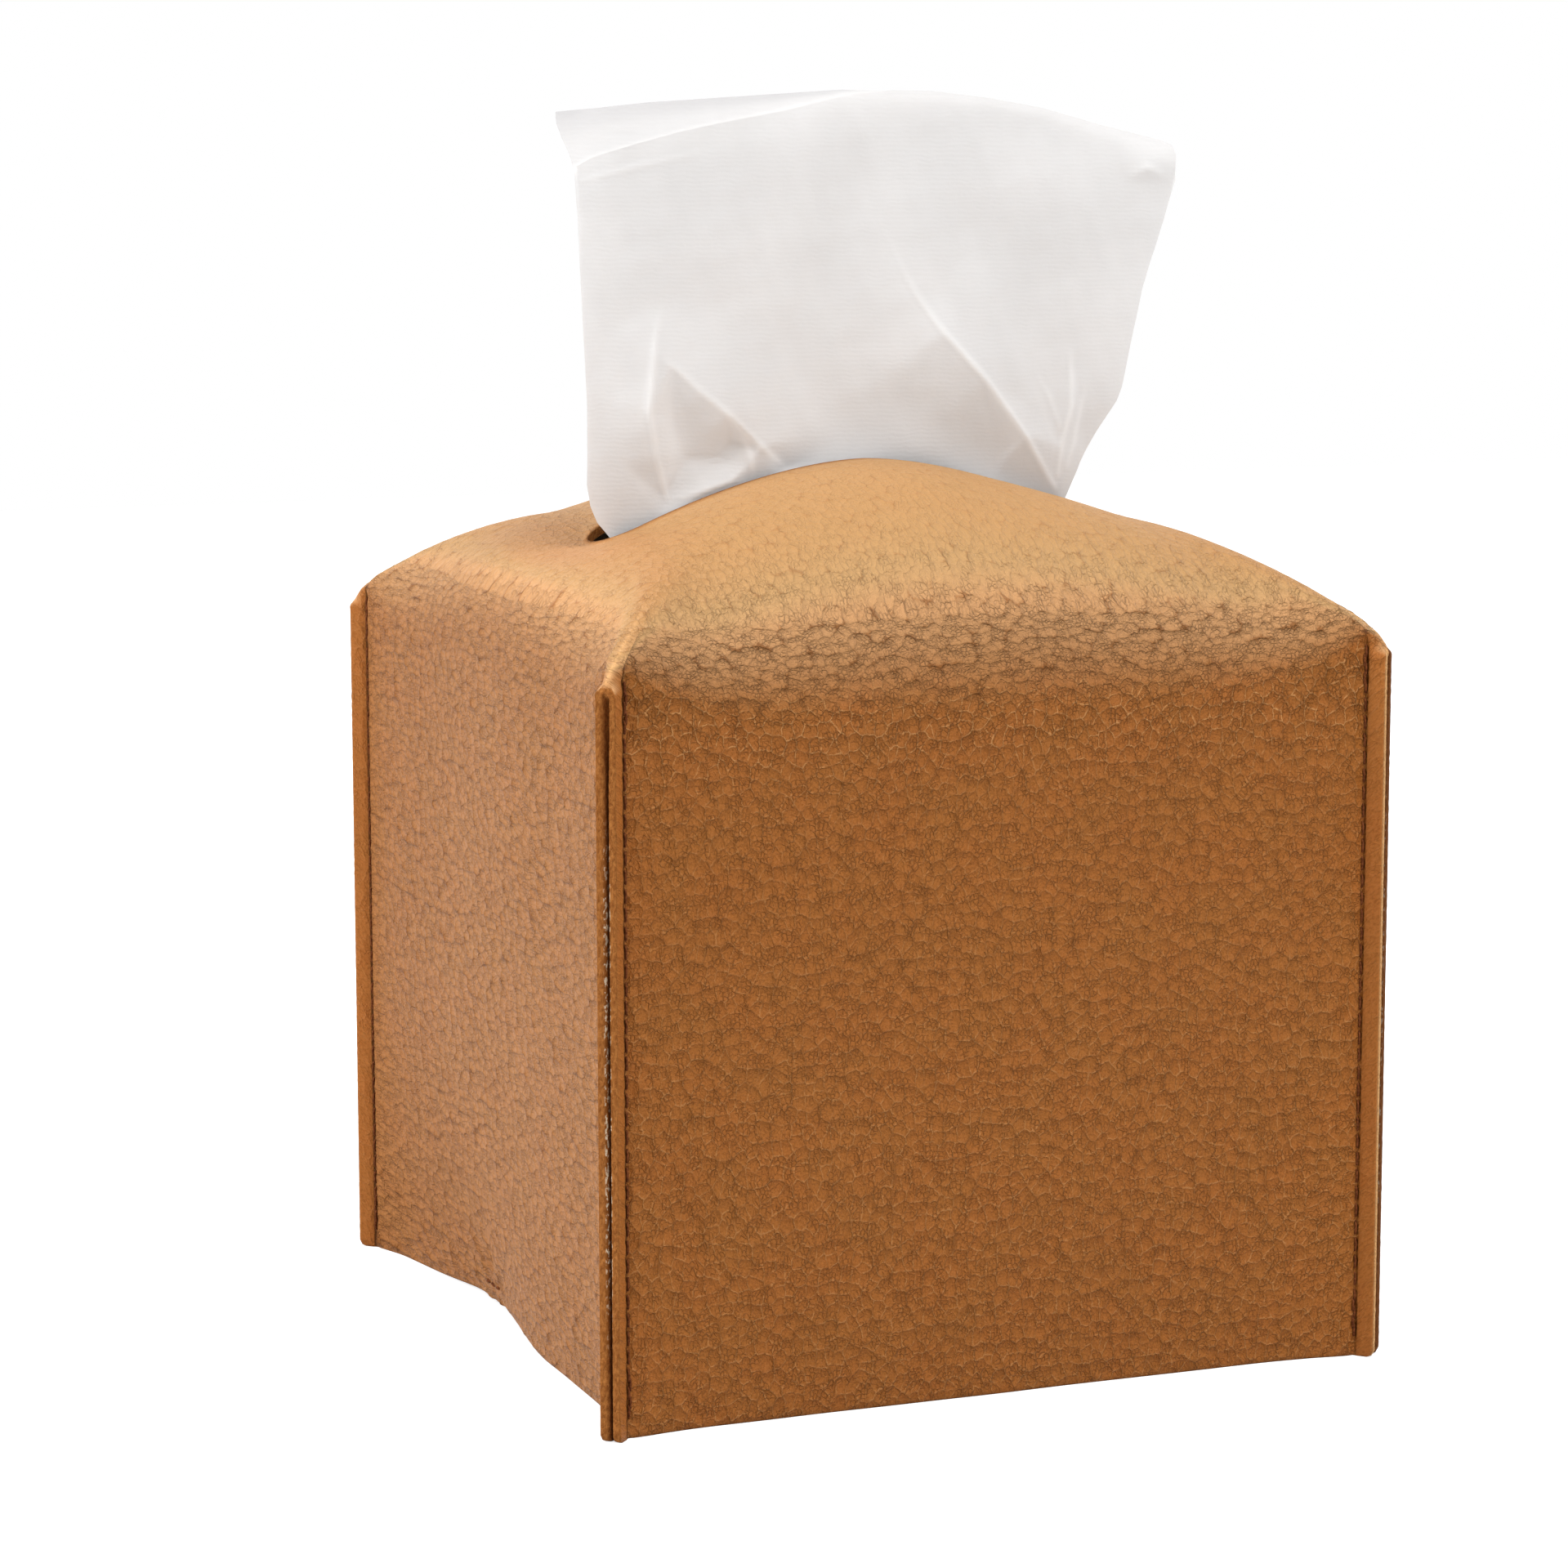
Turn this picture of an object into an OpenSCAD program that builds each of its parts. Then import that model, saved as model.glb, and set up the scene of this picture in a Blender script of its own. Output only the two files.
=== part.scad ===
// Tissue box cover of soft leather with four turned-out corner seams, a domed top with a long
// slot, an elastic band across the open bottom and a tissue refill inside.
// Millimetres. The origin is the centre of the base, +Z is up and the slot runs along X.

/* [Cover] */
// Width and depth over the raw edges of the corner flanges
overall_w = 130; // [100:1:180]
// Height of the upper ends of the corner seams
seam_top_h = 115; // [85:1:170]
// Thickness of the leather
leather_t = 1.55; // [1.2:0.05:2.2]

/* [Corner flanges] */
// Width of a flange, from its crease to its raw edge
flange_w = 3.1; // [2.4:0.1:5]
// Gap between the two layers at the raw edge
flange_gap = 0.3; // [0.1:0.05:0.6]
// Depth of the parting line in the raw edge
flange_notch = 0.7; // [0.3:0.1:1.2]
// Radius of a flange's upper corner
flange_top_r = 4.2; // [2:0.1:6]
// Radius of a flange's lower corner
flange_foot_r = 1.2; // [0.5:0.1:2]

/* [Domed top] */
// How far below the seam tops the middle of a wall starts to roll in
wall_roll_drop = 12; // [8:0.5:24]
// How far below the seam tops the corners start to roll in
corner_roll_drop = 1.1; // [0.5:0.1:1.4]
// Rise of the front and back shoulders above the seam tops
front_shoulder_rise = 4.6; // [3:0.1:9]
// Rise of the left and right shoulders above the seam tops
side_shoulder_rise = 7; // [4:0.1:10]
// Rise of the corners' shoulders above the seam tops
corner_shoulder_rise = 3.4; // [2:0.1:5]
// Rise of the slot's middle above the seam tops
crest_rise = 23.9; // [18:0.1:32]
// Height that the slot's lip loses from its middle to its ends
lip_drop = 12.2; // [6:0.1:14]
// Distance from the front and back walls to the bend of the top
front_bend = 22.4; // [18:0.2:30]
// Distance from the left and right walls to the bend of the top
side_bend = 7; // [4:0.2:10]
// Distance from both walls of a corner to the bend of its hip
corner_bend = 26.6; // [20:0.2:32]
// Height of that hip's bend above the ends of the slot
hip_rise = 6.3; // [3:0.1:8]

/* [Slot] */
// Distance from the slot's ends to the left and right of the cover
slot_margin = 21.3; // [18:0.1:30]
// Width of the slot
slot_w = 13; // [11:0.5:20]

/* [Drawn-in bottom edge] */
// How far the front and back edges are drawn in
front_edge_in = 1.6; // [0:0.1:3]
// How far the left and right edges are drawn in
side_edge_in = 4; // [1:0.1:5]
// How much further the band draws them in where it is sewn on
band_pull = 3.6; // [1:0.1:4.5]
// How far the band lifts the edge there
band_lift = 0.8; // [0:0.1:1.5]
// Height at which the walls are straight again
pull_h = 58; // [35:1:80]

/* [Seams] */
// Distance from one stitch to the next
stitch_pitch = 2.75; // [2:0.05:4]
// Length of leather between two stitches
stitch_gap = 0.6; // [0.3:0.05:1]
// Diameter of the thread
thread_d = 0.6; // [0.4:0.05:0.9]
// Distance from the end of a seam to its first stitch
seam_margin = 1.4; // [0.8:0.1:4]
// Stitches that are sewn twice at each end of a seam
backtack_stitches = 2; // [1:1:4]

/* [Elastic band] */
// Width of the band
band_w = 8; // [5:0.5:14]
// Thickness of the band
band_t = 0.7; // [0.5:0.1:1.2]
// Distance from the middle of the base to the middle of the band, towards the back
band_y = 15.5; // [-20:0.5:20]
// Length of the band's ends that lie against the walls
band_tab_l = 7; // [5:0.5:14]
// Height of the tack's stitches above the edge of the wall
tack_h = 3; // [2:0.1:4]
// Height of the band above the surface that the cover stands on
band_clear = 0.15; // [0.1:0.05:0.5]

/* [Refill] */
// Clearance between the carton and the band's ends, where the walls are drawn in most
carton_clear = 0.6; // [0.4:0.1:4]
// Clearance between the carton and the band that it lies on
carton_seat = 0.3; // [0.1:0.1:0.6]
// Height of the carton's top above the seam tops
carton_top_rise = 1.5; // [-8:0.5:2.5]
// Thickness of the cardboard
card_t = 0.6; // [0.4:0.1:1]
// Film that shows between the slit's ends and the cardboard
mouth_margin = 4.25; // [2:0.25:5]
// Width of the opening in the carton's top
mouth_w = 46; // [24:1:70]
// Thickness of the film under the opening
film_t = 0.2; // [0.1:0.05:0.4]
// Border of the film that is glued under the cardboard along the opening
film_border = 4; // [2:0.5:5]
// Clearance between the film and the carton's left and right walls
film_clear = 0.8; // [0.3:0.1:2]
// Clearance between the film and the sheet that holds its slit open
slit_clear = 0.4; // [0.3:0.1:1]
// Room between the film and the stack
stack_headroom = 3; // [1:0.5:30]
// Clearance between the stack and the carton's walls
stack_clear = 0.6; // [0.3:0.1:3]
// Depth of the rounded folds on the stack's front and back
stack_fold_d = 1.6; // [0.8:0.1:3]
// Number of folds that show on the stack's front
stack_folds = 14; // [6:1:24]

/* [Tissue sheet] */
// Height of the sheet's top edge above the slot's middle
sheet_stand = 58.2; // [30:0.2:90]
// Room between the sheet and the slot's ends
sheet_margin = 4.7; // [3.8:0.1:12]
// How far the sheet lies to the left of the slot's middle
sheet_shift = 2; // [0:0.5:2]
// How far the left edge spreads above the slot
sheet_left_flare = 8; // [2:0.5:14]
// How far the right edge spreads above the slot
sheet_right_flare = 20.4; // [8:0.2:26]
// How far the top edge falls towards its left corner
sheet_left_drop = 3.7; // [0:0.1:12]
// How far the top edge falls towards its right corner
sheet_right_drop = 10; // [0:0.5:20]
// Thickness of the sheet with its trapped air
sheet_t = 0.7; // [0.5:0.1:1]
// Depth of the gathers in the slot
gather_d = 6; // [3:0.5:6]
// Depth of the folds above the slot
fold_d = 6; // [3:0.5:9]
// Clearance of the sheet from the slot's front lip and from the stack
sheet_clear = 0.4; // [0.3:0.1:0.6]

/* [Hidden] */

leather_colour = [0.71, 0.46, 0.26];
thread_colour = [0.42, 0.24, 0.1];
elastic_colour = [0.16, 0.13, 0.11];
card_colour = [0.8, 0.76, 0.68];
film_colour = [0.86, 0.9, 0.93];
tissue_colour = [0.95, 0.95, 0.94];

// Sides are numbered 0 front, 1 right, 2 back, 3 left. A point beside a wall is written as
// [distance along the wall, distance out from the middle of the base].
right = 1;
left = 3;

wall_half = overall_w / 2 - (flange_w + flange_gap / 2) / sqrt(2);
crease = leather_t * sqrt(2);
inner_corner_r = leather_t;
corner_roll_h = seam_top_h - corner_roll_drop;
crest_h = seam_top_h + crest_rise;
slot_half = overall_w / 2 - slot_margin;
slot_r = slot_w / 2;
sheet_slot_w = 2 * (slot_half - sheet_margin);
slit_w = gather_d + sheet_t + 2 * slit_clear;
slit_l = sheet_slot_w + slit_w;
mouth_l = slit_l + 2 * mouth_margin;

// How strongly shoulders, roll and bend change towards the corners, and the lip towards its ends
shoulder_power = 3.5;
roll_power = 5;
bend_power = 2.1;
lip_power = 1.7;
// How far the bend of the top lies below the lip along a wall, as a share of the crest's rise
bend_drop_share = 0.047;
// Share of the leather's thickness by which the inner skin is lower where it rolls over
roll_inset_share = 0.7;
// Height of the round ridge between two walls where they have no flange, as a share of a crease
ridge_share = 0.2;
// Share of a wall beyond which the lip turns round the slot's end
lip_straight_share = 0.8;
// Turn of the lip, in degrees, that belongs to half an end wall and to half a corner
lip_wall_turn = 42;
lip_corner_turn = 45 - lip_wall_turn;
// Width of the stretch of edge that the band pulls in, as a share of half a wall
pull_width_share = 0.6;
// How square the drawn-in edge is at its corners
edge_power = 8;

side_steps = 16;
corner_steps = 6;
ring_size = 4 * (side_steps + corner_steps);
// Places across a flange, and how far out they are, as shares of its thickness and width
flange_across_shares = [0, 0, 0.42, 0.5, 0.58, 1, 1];
flange_out_shares = [0, 1, 1, 1, 1, 1, 0];
// Turns of the flanges' round lower corners, in degrees, that have a ring of points
foot_turns = [0, 30, 60];
// Heights up the walls and places along the ribs of the top that have a ring of points
wall_shares = [0.1, 0.2, 0.32, 0.46, 0.6, 0.74, 0.86, 0.94, 0.972, 0.985, 0.995, 1];
roof_shares = [0.025, 0.05, 0.08, 0.13, 0.19, 0.26, 0.34, 0.43, 0.53, 0.64, 0.76, 0.88, 1];
inner_wall_shares = [0, 0.12, 0.27, 0.46, 0.7, 1];
inner_roof_shares = [0.1, 0.2, 0.3, 0.42, 0.57, 0.75, 1];

function mix(a, b, t) = a + (b - a) * t;
function is_end_wall(side) = side % 2 == 1;
function turned(side, p) = [
    p[0] * cos(90 * side) + p[1] * sin(90 * side),
    p[0] * sin(90 * side) - p[1] * cos(90 * side)
];
function reversed(list) = [for (i = [len(list) - 1 : -1 : 0]) list[i]];
// Places along a wall from -1 to 1, closer together near the corners
function wall_place(i) = sin(90 * (2 * min(i, side_steps) / side_steps - 1));

// A smooth hump of height 1 around the place where the band is sewn on
function band_place(side) = (side == right ? 1 : -1) * band_y / (wall_half - crease);
function band_hump(side, place) = let (off = (place - band_place(side)) / pull_width_share)
    is_end_wall(side) && abs(off) < 1 ? pow(cos(90 * off), 2) : 0;
function edge_in(side, place) = (is_end_wall(side) ? side_edge_in : front_edge_in)
    * (1 - pow(abs(place), edge_power)) + band_pull * band_hump(side, place);
function pull_fade(z) = z < pull_h ? pow(1 - z / pull_h, 2) : 0;

// Share of a flange's full width at a height, with its round upper and lower corners
function flange_share(z) =
    z < flange_foot_r
        ? 1 - (flange_foot_r - sqrt(pow(flange_foot_r, 2) - pow(flange_foot_r - z, 2))) / flange_w
    : z > seam_top_h ? 0
    : z > seam_top_h - flange_top_r
        ? sqrt(max(0, 1 - pow((z - seam_top_h + flange_top_r) / flange_top_r, 2)))
    : 1;

// Points of the wall, and of the corner beyond its far end without the flange
function wall_point(side, place, z, inset) = [
    place * (wall_half - inset - (inset > 0 ? inner_corner_r : crease)),
    wall_half - inset - edge_in(side, place) * pull_fade(z)
];
function corner_point(step, inset) = let (t = step / corner_steps)
    inset > 0
        ? [
            wall_half - inset - inner_corner_r * (1 - sin(90 * t)),
            wall_half - inset - inner_corner_r * (1 - cos(90 * t))
        ]
        : [wall_half - crease * (1 - t), wall_half - crease * t];
// What the flange adds to a corner point
function flange_offset(step, share) = let (
        t = step / corner_steps,
        across = mix(t, flange_across_shares[step], share) - t,
        spread = (2 * flange_across_shares[step] - 1) * flange_out_shares[step] * flange_gap / 2,
        out = mix(ridge_share * crease * (1 - pow(2 * t - 1, 2)),
            flange_w * flange_out_shares[step] - (step == corner_steps / 2 ? flange_notch : 0), share)
    )
    [
        across * crease + (out + spread * share) / sqrt(2),
        -across * crease + (out - spread * share) / sqrt(2)
    ];

// The point that a rib of the top bends towards, and where it ends on the slot's lip
function bend_point(side, i, inset) = let (
        place = wall_place(i),
        deeper = pow(abs(place), bend_power),
        reach = wall_half - inset - (inset > 0 ? inner_corner_r : crease)
    )
    i > side_steps ? corner_point(i - side_steps, inset) - [corner_bend, corner_bend]
    : [
        place * (reach - corner_bend * (is_end_wall(side) ? 1 : deeper)),
        wall_half - inset - mix(is_end_wall(side) ? side_bend : front_bend, corner_bend, deeper)
    ];
function lip_point(side, i) = let (
        place = wall_place(i),
        beyond = max(0, i - side_steps) / corner_steps,
        bent = is_end_wall(side) ? place
            : sign(place) * max(0, abs(place) - lip_straight_share) / (1 - lip_straight_share),
        turn = bent * lip_wall_turn + beyond * 2 * lip_corner_turn,
        straight = max(-1, min(1, place / lip_straight_share)) * (slot_half - slot_r)
    )
    is_end_wall(side)
        ? [slot_r * sin(turn), slot_half - slot_r + slot_r * cos(turn)]
        : [straight + slot_r * sin(turn), slot_r * cos(turn)];
function lip_height(x) = crest_h - lip_drop * pow(abs(x) / slot_half, lip_power);

// One point of the skin. The rise runs from 0 at the foot of the wall to 1 where it rolls in, and
// the roof share from 0 there to 1 on the slot's lip. A rib of the top is a cubic Bezier curve.
function skin_point(side, i, rise, roof, inset) = let (
        place = wall_place(i),
        step = i - side_steps,
        fall = pow(abs(place), shoulder_power),
        deeper = pow(abs(place), bend_power),
        roll_h = mix(seam_top_h - wall_roll_drop, corner_roll_h, pow(abs(place), roll_power)),
        z = rise * roll_h,
        foot = step > 0 ? corner_point(step, inset) : wall_point(side, place, z, inset),
        lip = lip_point(side, i),
        lip_h = lip_height(turned(side, lip)[0]) - inset,
        shoulder_h = seam_top_h - inset * roll_inset_share
            + mix(is_end_wall(side) ? side_shoulder_rise : front_shoulder_rise, corner_shoulder_rise, fall),
        bend_h = lip_h + mix(-bend_drop_share * crest_rise, hip_rise, deeper),
        b0 = pow(1 - roof, 3),
        b1 = 3 * pow(1 - roof, 2) * roof,
        b2 = 3 * (1 - roof) * pow(roof, 2),
        b3 = pow(roof, 3),
        level = b0 * (z + band_lift * band_hump(side, place) * pull_fade(z))
            + b1 * shoulder_h + b2 * bend_h + b3 * lip_h,
        flange = step > 0 && inset == 0 ? flange_offset(step, flange_share(level)) : [0, 0],
        p = turned(side, (b0 + b1) * foot + b2 * bend_point(side, i, inset) + b3 * lip + flange)
    )
    [p[0], p[1], level];
function skin_ring(rise, roof, inset) = [
    for (side = [0 : 3]) for (i = [0 : side_steps + corner_steps - 1])
        skin_point(side, i, rise, roof, inset)
];

// Faces of a closed tube of rings, seen clockwise from outside
function tube_faces(rings, size) = [
    for (r = [0 : rings - 1]) for (i = [0 : size - 1])
        let (
            a = r * size + i,
            b = r * size + (i + 1) % size,
            c = ((r + 1) % rings) * size + (i + 1) % size,
            d = ((r + 1) % rings) * size + i
        )
        each [[a, b, c], [a, c, d]]
];

module leather_shell() {
    foot_rises = [for (turn = foot_turns) flange_foot_r * (1 - cos(turn)) / corner_roll_h];
    foot_top = flange_foot_r / corner_roll_h;
    rises = concat(foot_rises, [foot_top], [for (s = wall_shares) mix(foot_top, 1, s)]);
    rings = concat(
        [for (s = reversed(roof_shares)) skin_ring(1, s, 0)],
        [for (s = reversed(rises)) skin_ring(s, 0, 0)],
        [for (s = inner_wall_shares) skin_ring(s, 0, leather_t)],
        [for (s = inner_roof_shares) skin_ring(1, s, leather_t)]
    );
    color(leather_colour)
        polyhedron(points = [for (ring = rings) each ring], faces = tube_faces(len(rings), ring_size));
}

// A straight piece of thread between two points
module thread_piece(from, to) {
    v = to - from;
    translate(from)
        rotate([0, acos(v[2] / norm(v)), atan2(v[1], v[0])])
            cylinder(d = thread_d, h = norm(v), $fn = 6);
}

// A thread lies in the crease beside a flange, its middle this far out from the crease. A second
// row lies beside it where a seam is sewn twice. A corner has the number of the side before it.
thread_seat_share = 0.3;
backtack_share = 1.1;
seat_turn = 22.5;
function crease_point(corner, on_next_side, z, row) = let (
        side = on_next_side ? (corner + 1) % 4 : corner,
        seat = thread_seat_share * thread_d,
        along = wall_half - crease - seat * sin(seat_turn) - row * backtack_share * thread_d,
        p = turned(side, [on_next_side ? -along : along, wall_half + seat * cos(seat_turn)])
    )
    [p[0], p[1], z];

// The thread that shows on one side of a corner seam, stitch by stitch, with its backtacks
module seam_thread(corner, on_next_side) {
    stitch_l = stitch_pitch - stitch_gap;
    room = corner_roll_h - seam_margin;
    count = floor((room - seam_margin + stitch_gap) / stitch_pitch);
    first = room - count * stitch_pitch + stitch_gap;
    color(thread_colour) {
        for (i = [0 : count - 1]) {
            z = first + i * stitch_pitch;
            thread_piece(crease_point(corner, on_next_side, z, 0),
                crease_point(corner, on_next_side, z + stitch_l, 0));
        }
        for (i = [0 : backtack_stitches - 1], from_top = [false, true]) {
            z = first + stitch_pitch / 2 + stitch_pitch * (from_top ? count - 2 - i : i);
            thread_piece(crease_point(corner, on_next_side, z, 1),
                crease_point(corner, on_next_side, z + stitch_l, 1));
        }
    }
}

// Corners 0 front right, 1 back right, 2 back left, 3 front left. The needle threads lie on the
// front and back walls.
module needle_thread(corner) seam_thread(corner, is_end_wall(corner));
module bobbin_thread(corner) seam_thread(corner, !is_end_wall(corner));

// The inner face of an end wall in the middle of the band, at a height
function band_wall_x(side, z) = wall_point(side, band_place(side), z, leather_t)[1];

// The band lies flat under the refill and is turned up against the end walls
module elastic_band() {
    steps = 4;
    low = band_clear;
    tab_levels = [for (i = [0 : steps]) mix(band_lift + band_t, band_lift + band_tab_l, i / steps)];
    outer = concat([[band_wall_x(right, band_lift) - band_t, low]],
        [for (z = tab_levels) [band_wall_x(right, z), z]]);
    inner = concat([for (z = reversed(tab_levels)) [band_wall_x(right, z) - band_t, z]],
        [[band_wall_x(right, band_lift) - 2 * band_t, low + band_t]]);
    half = concat(outer, inner);
    mirrored = [for (p = reversed(half)) [-p[0], p[1]]];
    color(elastic_colour)
        translate([0, band_y + band_w / 2, 0])
            rotate([90, 0, 0])
                linear_extrude(height = band_w)
                    polygon(concat(half, mirrored));
}

// A row of stitches through an end wall and the band behind it
module band_tack(side) {
    stitches = 3;
    z = band_lift + tack_h;
    out = side == right ? 1 : -1;
    face = out * (band_wall_x(side, z) + leather_t);
    behind = out * (band_wall_x(side, z) - band_t);
    run = (band_w - thread_d) / stitches;
    color(thread_colour)
        for (i = [0 : stitches]) {
            y = band_y - band_w / 2 + thread_d / 2 + i * run;
            thread_piece([behind, y, z], [face, y, z]);
            if (i < stitches) {
                thread_piece([face, y, z], [face, y + run, z]);
                thread_piece([behind, y, z], [behind, y + run, z]);
            }
        }
}

// The narrowest places between the walls set the carton's size
carton_base = band_clear + band_t + carton_seat;
carton_half = min(
    band_wall_x(right, band_lift) - band_t,
    wall_half - leather_t - front_edge_in
) - carton_clear;
carton_top = seam_top_h + carton_top_rise;
film_top = carton_top - card_t;
stack_top = film_top - film_t - stack_headroom;
cut_over = card_t;

// A slot with round ends, its long way along X
module long_hole(l, w, h) {
    for (x = [-1, 1]) translate([x * (l - w) / 2, 0, 0]) cylinder(d = w, h = h, $fn = 48);
    translate([-(l - w) / 2, -w / 2, 0]) cube([l - w, w, h]);
}

module refill_carton() {
    size = 2 * carton_half;
    flap_t = 2 * card_t;
    groove_w = card_t;
    color(card_colour)
        difference() {
            translate([-carton_half, -carton_half, carton_base])
                cube([size, size, carton_top - carton_base]);
            translate([-carton_half + card_t, -carton_half + card_t, carton_base + flap_t])
                cube([size - 2 * card_t, size - 2 * card_t, film_top - carton_base - flap_t]);
            translate([0, 0, film_top - cut_over]) long_hole(mouth_l, mouth_w, card_t + 2 * cut_over);
            // The line where the two outer flaps of the bottom meet
            translate([-carton_half - cut_over, -groove_w / 2, carton_base - cut_over])
                cube([size + 2 * cut_over, groove_w, card_t + cut_over]);
        }
}

module carton_film() {
    film_l = 2 * (carton_half - card_t - film_clear);
    film_w = mouth_w + 2 * film_border;
    color(film_colour)
        difference() {
            translate([-film_l / 2, -film_w / 2, film_top - film_t]) cube([film_l, film_w, film_t]);
            translate([-sheet_shift, sheet_y, film_top - film_t - cut_over])
                long_hole(slit_l, slit_w, film_t + 2 * cut_over);
        }
}

// Folded tissues, whose rounded folds show on the front and back of the stack
module tissue_stack() {
    half = carton_half - card_t - stack_clear;
    base = carton_base + 2 * card_t;
    layer = (stack_top - base) / stack_folds;
    steps = 4;
    front_edge = [
        for (i = [0 : stack_folds - 1], k = [0 : steps - 1])
            [half - stack_fold_d * pow(cos(180 * k / steps), 2), base + (i + k / steps) * layer]
    ];
    profile = concat(front_edge, [[half - stack_fold_d, stack_top], [stack_fold_d - half, stack_top]],
        [for (p = reversed(front_edge)) [-p[0], p[1]]]);
    color(tissue_colour)
        translate([-half, 0, 0])
            rotate([90, 0, 90])
                linear_extrude(height = 2 * half)
                    polygon(profile);
}

// The sheet stands behind the slot's front lip. Its place runs from -1 to 1 across it, and it is
// free from 0 at the lip to 1 at its top edge.
sheet_y = -slot_r + sheet_clear + (gather_d + sheet_t) / 2;
sheet_base_h = stack_top + sheet_clear;
sheet_across = 32;
// Rings of points below the lip and above it
sheet_under = 3;
sheet_over = 14;
gathers = 3;
// Share of the left flare that comes at once, and how late the rest comes
left_flare_start_share = 0.5;
left_flare_power = 8;
// How early the right flare comes and the gathers smooth out, going up
right_flare_power = 0.75;
gather_power = 0.6;
// Share of the free height over which the folds come forward, clear of the lip
fold_start_share = 0.12;
// The main folds: where each starts and ends, as [place, free], its half width and its depth as
// shares. A broad one down the middle, a diagonal one to the slot's right end, two that meet at
// the left and a short one at the right.
fold_shares = [
    [[0.05, 1], [0.21, 0.47], 0.5, 0.5],
    [[0.21, 0.47], [0.93, 0.06], 0.3, 0.9],
    [[-0.77, 0.48], [-0.75, 0.04], 0.2, 0.5],
    [[-0.72, 0.37], [-0.21, 0.12], 0.2, 0.5],
    [[0.85, 0.31], [0.95, 0.08], 0.16, 0.4]
];

// Distance of a point from a line between two others
function line_distance(p, a, b) = let (
        t = max(0, min(1, ((p - a) * (b - a)) / ((b - a) * (b - a))))
    )
    norm(p - mix(a, b, t));
function fold_height(p, i) = let (
        fold = fold_shares[i],
        off = line_distance(p, fold[0], fold[1]) / fold[2],
        here = off < 1 ? fold[3] * pow(cos(90 * off), 2) : 0
    )
    i == 0 ? here : max(here, fold_height(p, i - 1));
function sheet_point(a, u, back) = let (
        place = 2 * a / sheet_across - 1,
        corner_drop = place < 0 ? sheet_left_drop : sheet_right_drop,
        top = crest_h + sheet_stand - corner_drop * pow(abs(place), lip_power),
        lip = lip_height(place * sheet_slot_w / 2),
        free = max(0, (u - sheet_under) / sheet_over),
        z = u < sheet_under ? mix(sheet_base_h, lip, u / sheet_under) : mix(lip, top, free),
        left_flare = sheet_left_flare * mix(pow(free, left_flare_power),
            1 - pow(1 - free, left_flare_power), left_flare_start_share),
        right_flare = sheet_right_flare * pow(free, right_flare_power),
        x = mix(-sheet_slot_w / 2 - left_flare, sheet_slot_w / 2 + right_flare, (place + 1) / 2)
            - sheet_shift,
        gather = -gather_d / 2 * cos(180 * gathers * place) * (1 - pow(free, gather_power)),
        forward = fold_d * fold_height([place, free], len(fold_shares) - 1)
            * min(1, free / fold_start_share)
    )
    [x, sheet_y + gather - forward + (back ? sheet_t / 2 : -sheet_t / 2), z];

// The rings run round the sheet's section: along its front from left to right and back again
module tissue_sheet() {
    ring = 2 * (sheet_across + 1);
    sheet_up = sheet_under + sheet_over;
    points = [
        for (u = [0 : sheet_up])
            each concat([for (a = [0 : sheet_across]) sheet_point(a, u, false)],
                [for (a = [sheet_across : -1 : 0]) sheet_point(a, u, true)])
    ];
    sides = [
        for (u = [0 : sheet_up - 1], i = [0 : ring - 1])
            let (a = u * ring + i, b = u * ring + (i + 1) % ring)
            each [[a, b + ring, b], [a, a + ring, b + ring]]
    ];
    caps = [
        for (a = [0 : sheet_across - 1])
            let (b = ring - 1 - a, top = sheet_up * ring)
            each [
                [a, a + 1, b - 1], [a, b - 1, b],
                [top + a, top + b - 1, top + a + 1], [top + a, top + b, top + b - 1]
            ]
    ];
    color(tissue_colour)
        polyhedron(points = points, faces = concat(sides, caps));
}

leather_shell();
needle_thread(3);  // needle_thread_front_left
needle_thread(0);  // needle_thread_front_right
needle_thread(2);  // needle_thread_back_left
needle_thread(1);  // needle_thread_back_right
bobbin_thread(3);  // bobbin_thread_front_left
bobbin_thread(0);  // bobbin_thread_front_right
bobbin_thread(2);  // bobbin_thread_back_left
bobbin_thread(1);  // bobbin_thread_back_right
elastic_band();
band_tack(left);  // band_tack_left
band_tack(right);  // band_tack_right
refill_carton();
carton_film();
tissue_stack();
tissue_sheet();
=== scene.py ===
# Tissue box cover of soft tan leather, with its seams, its elastic band, the refill inside and the
# sheet of tissue that stands in the slot. Points are worked out in millimetres, in the frame's axes.
import math

import bmesh
import bpy
import numpy as np
from mathutils import Matrix, Vector
from mathutils.geometry import delaunay_2d_cdt


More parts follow.
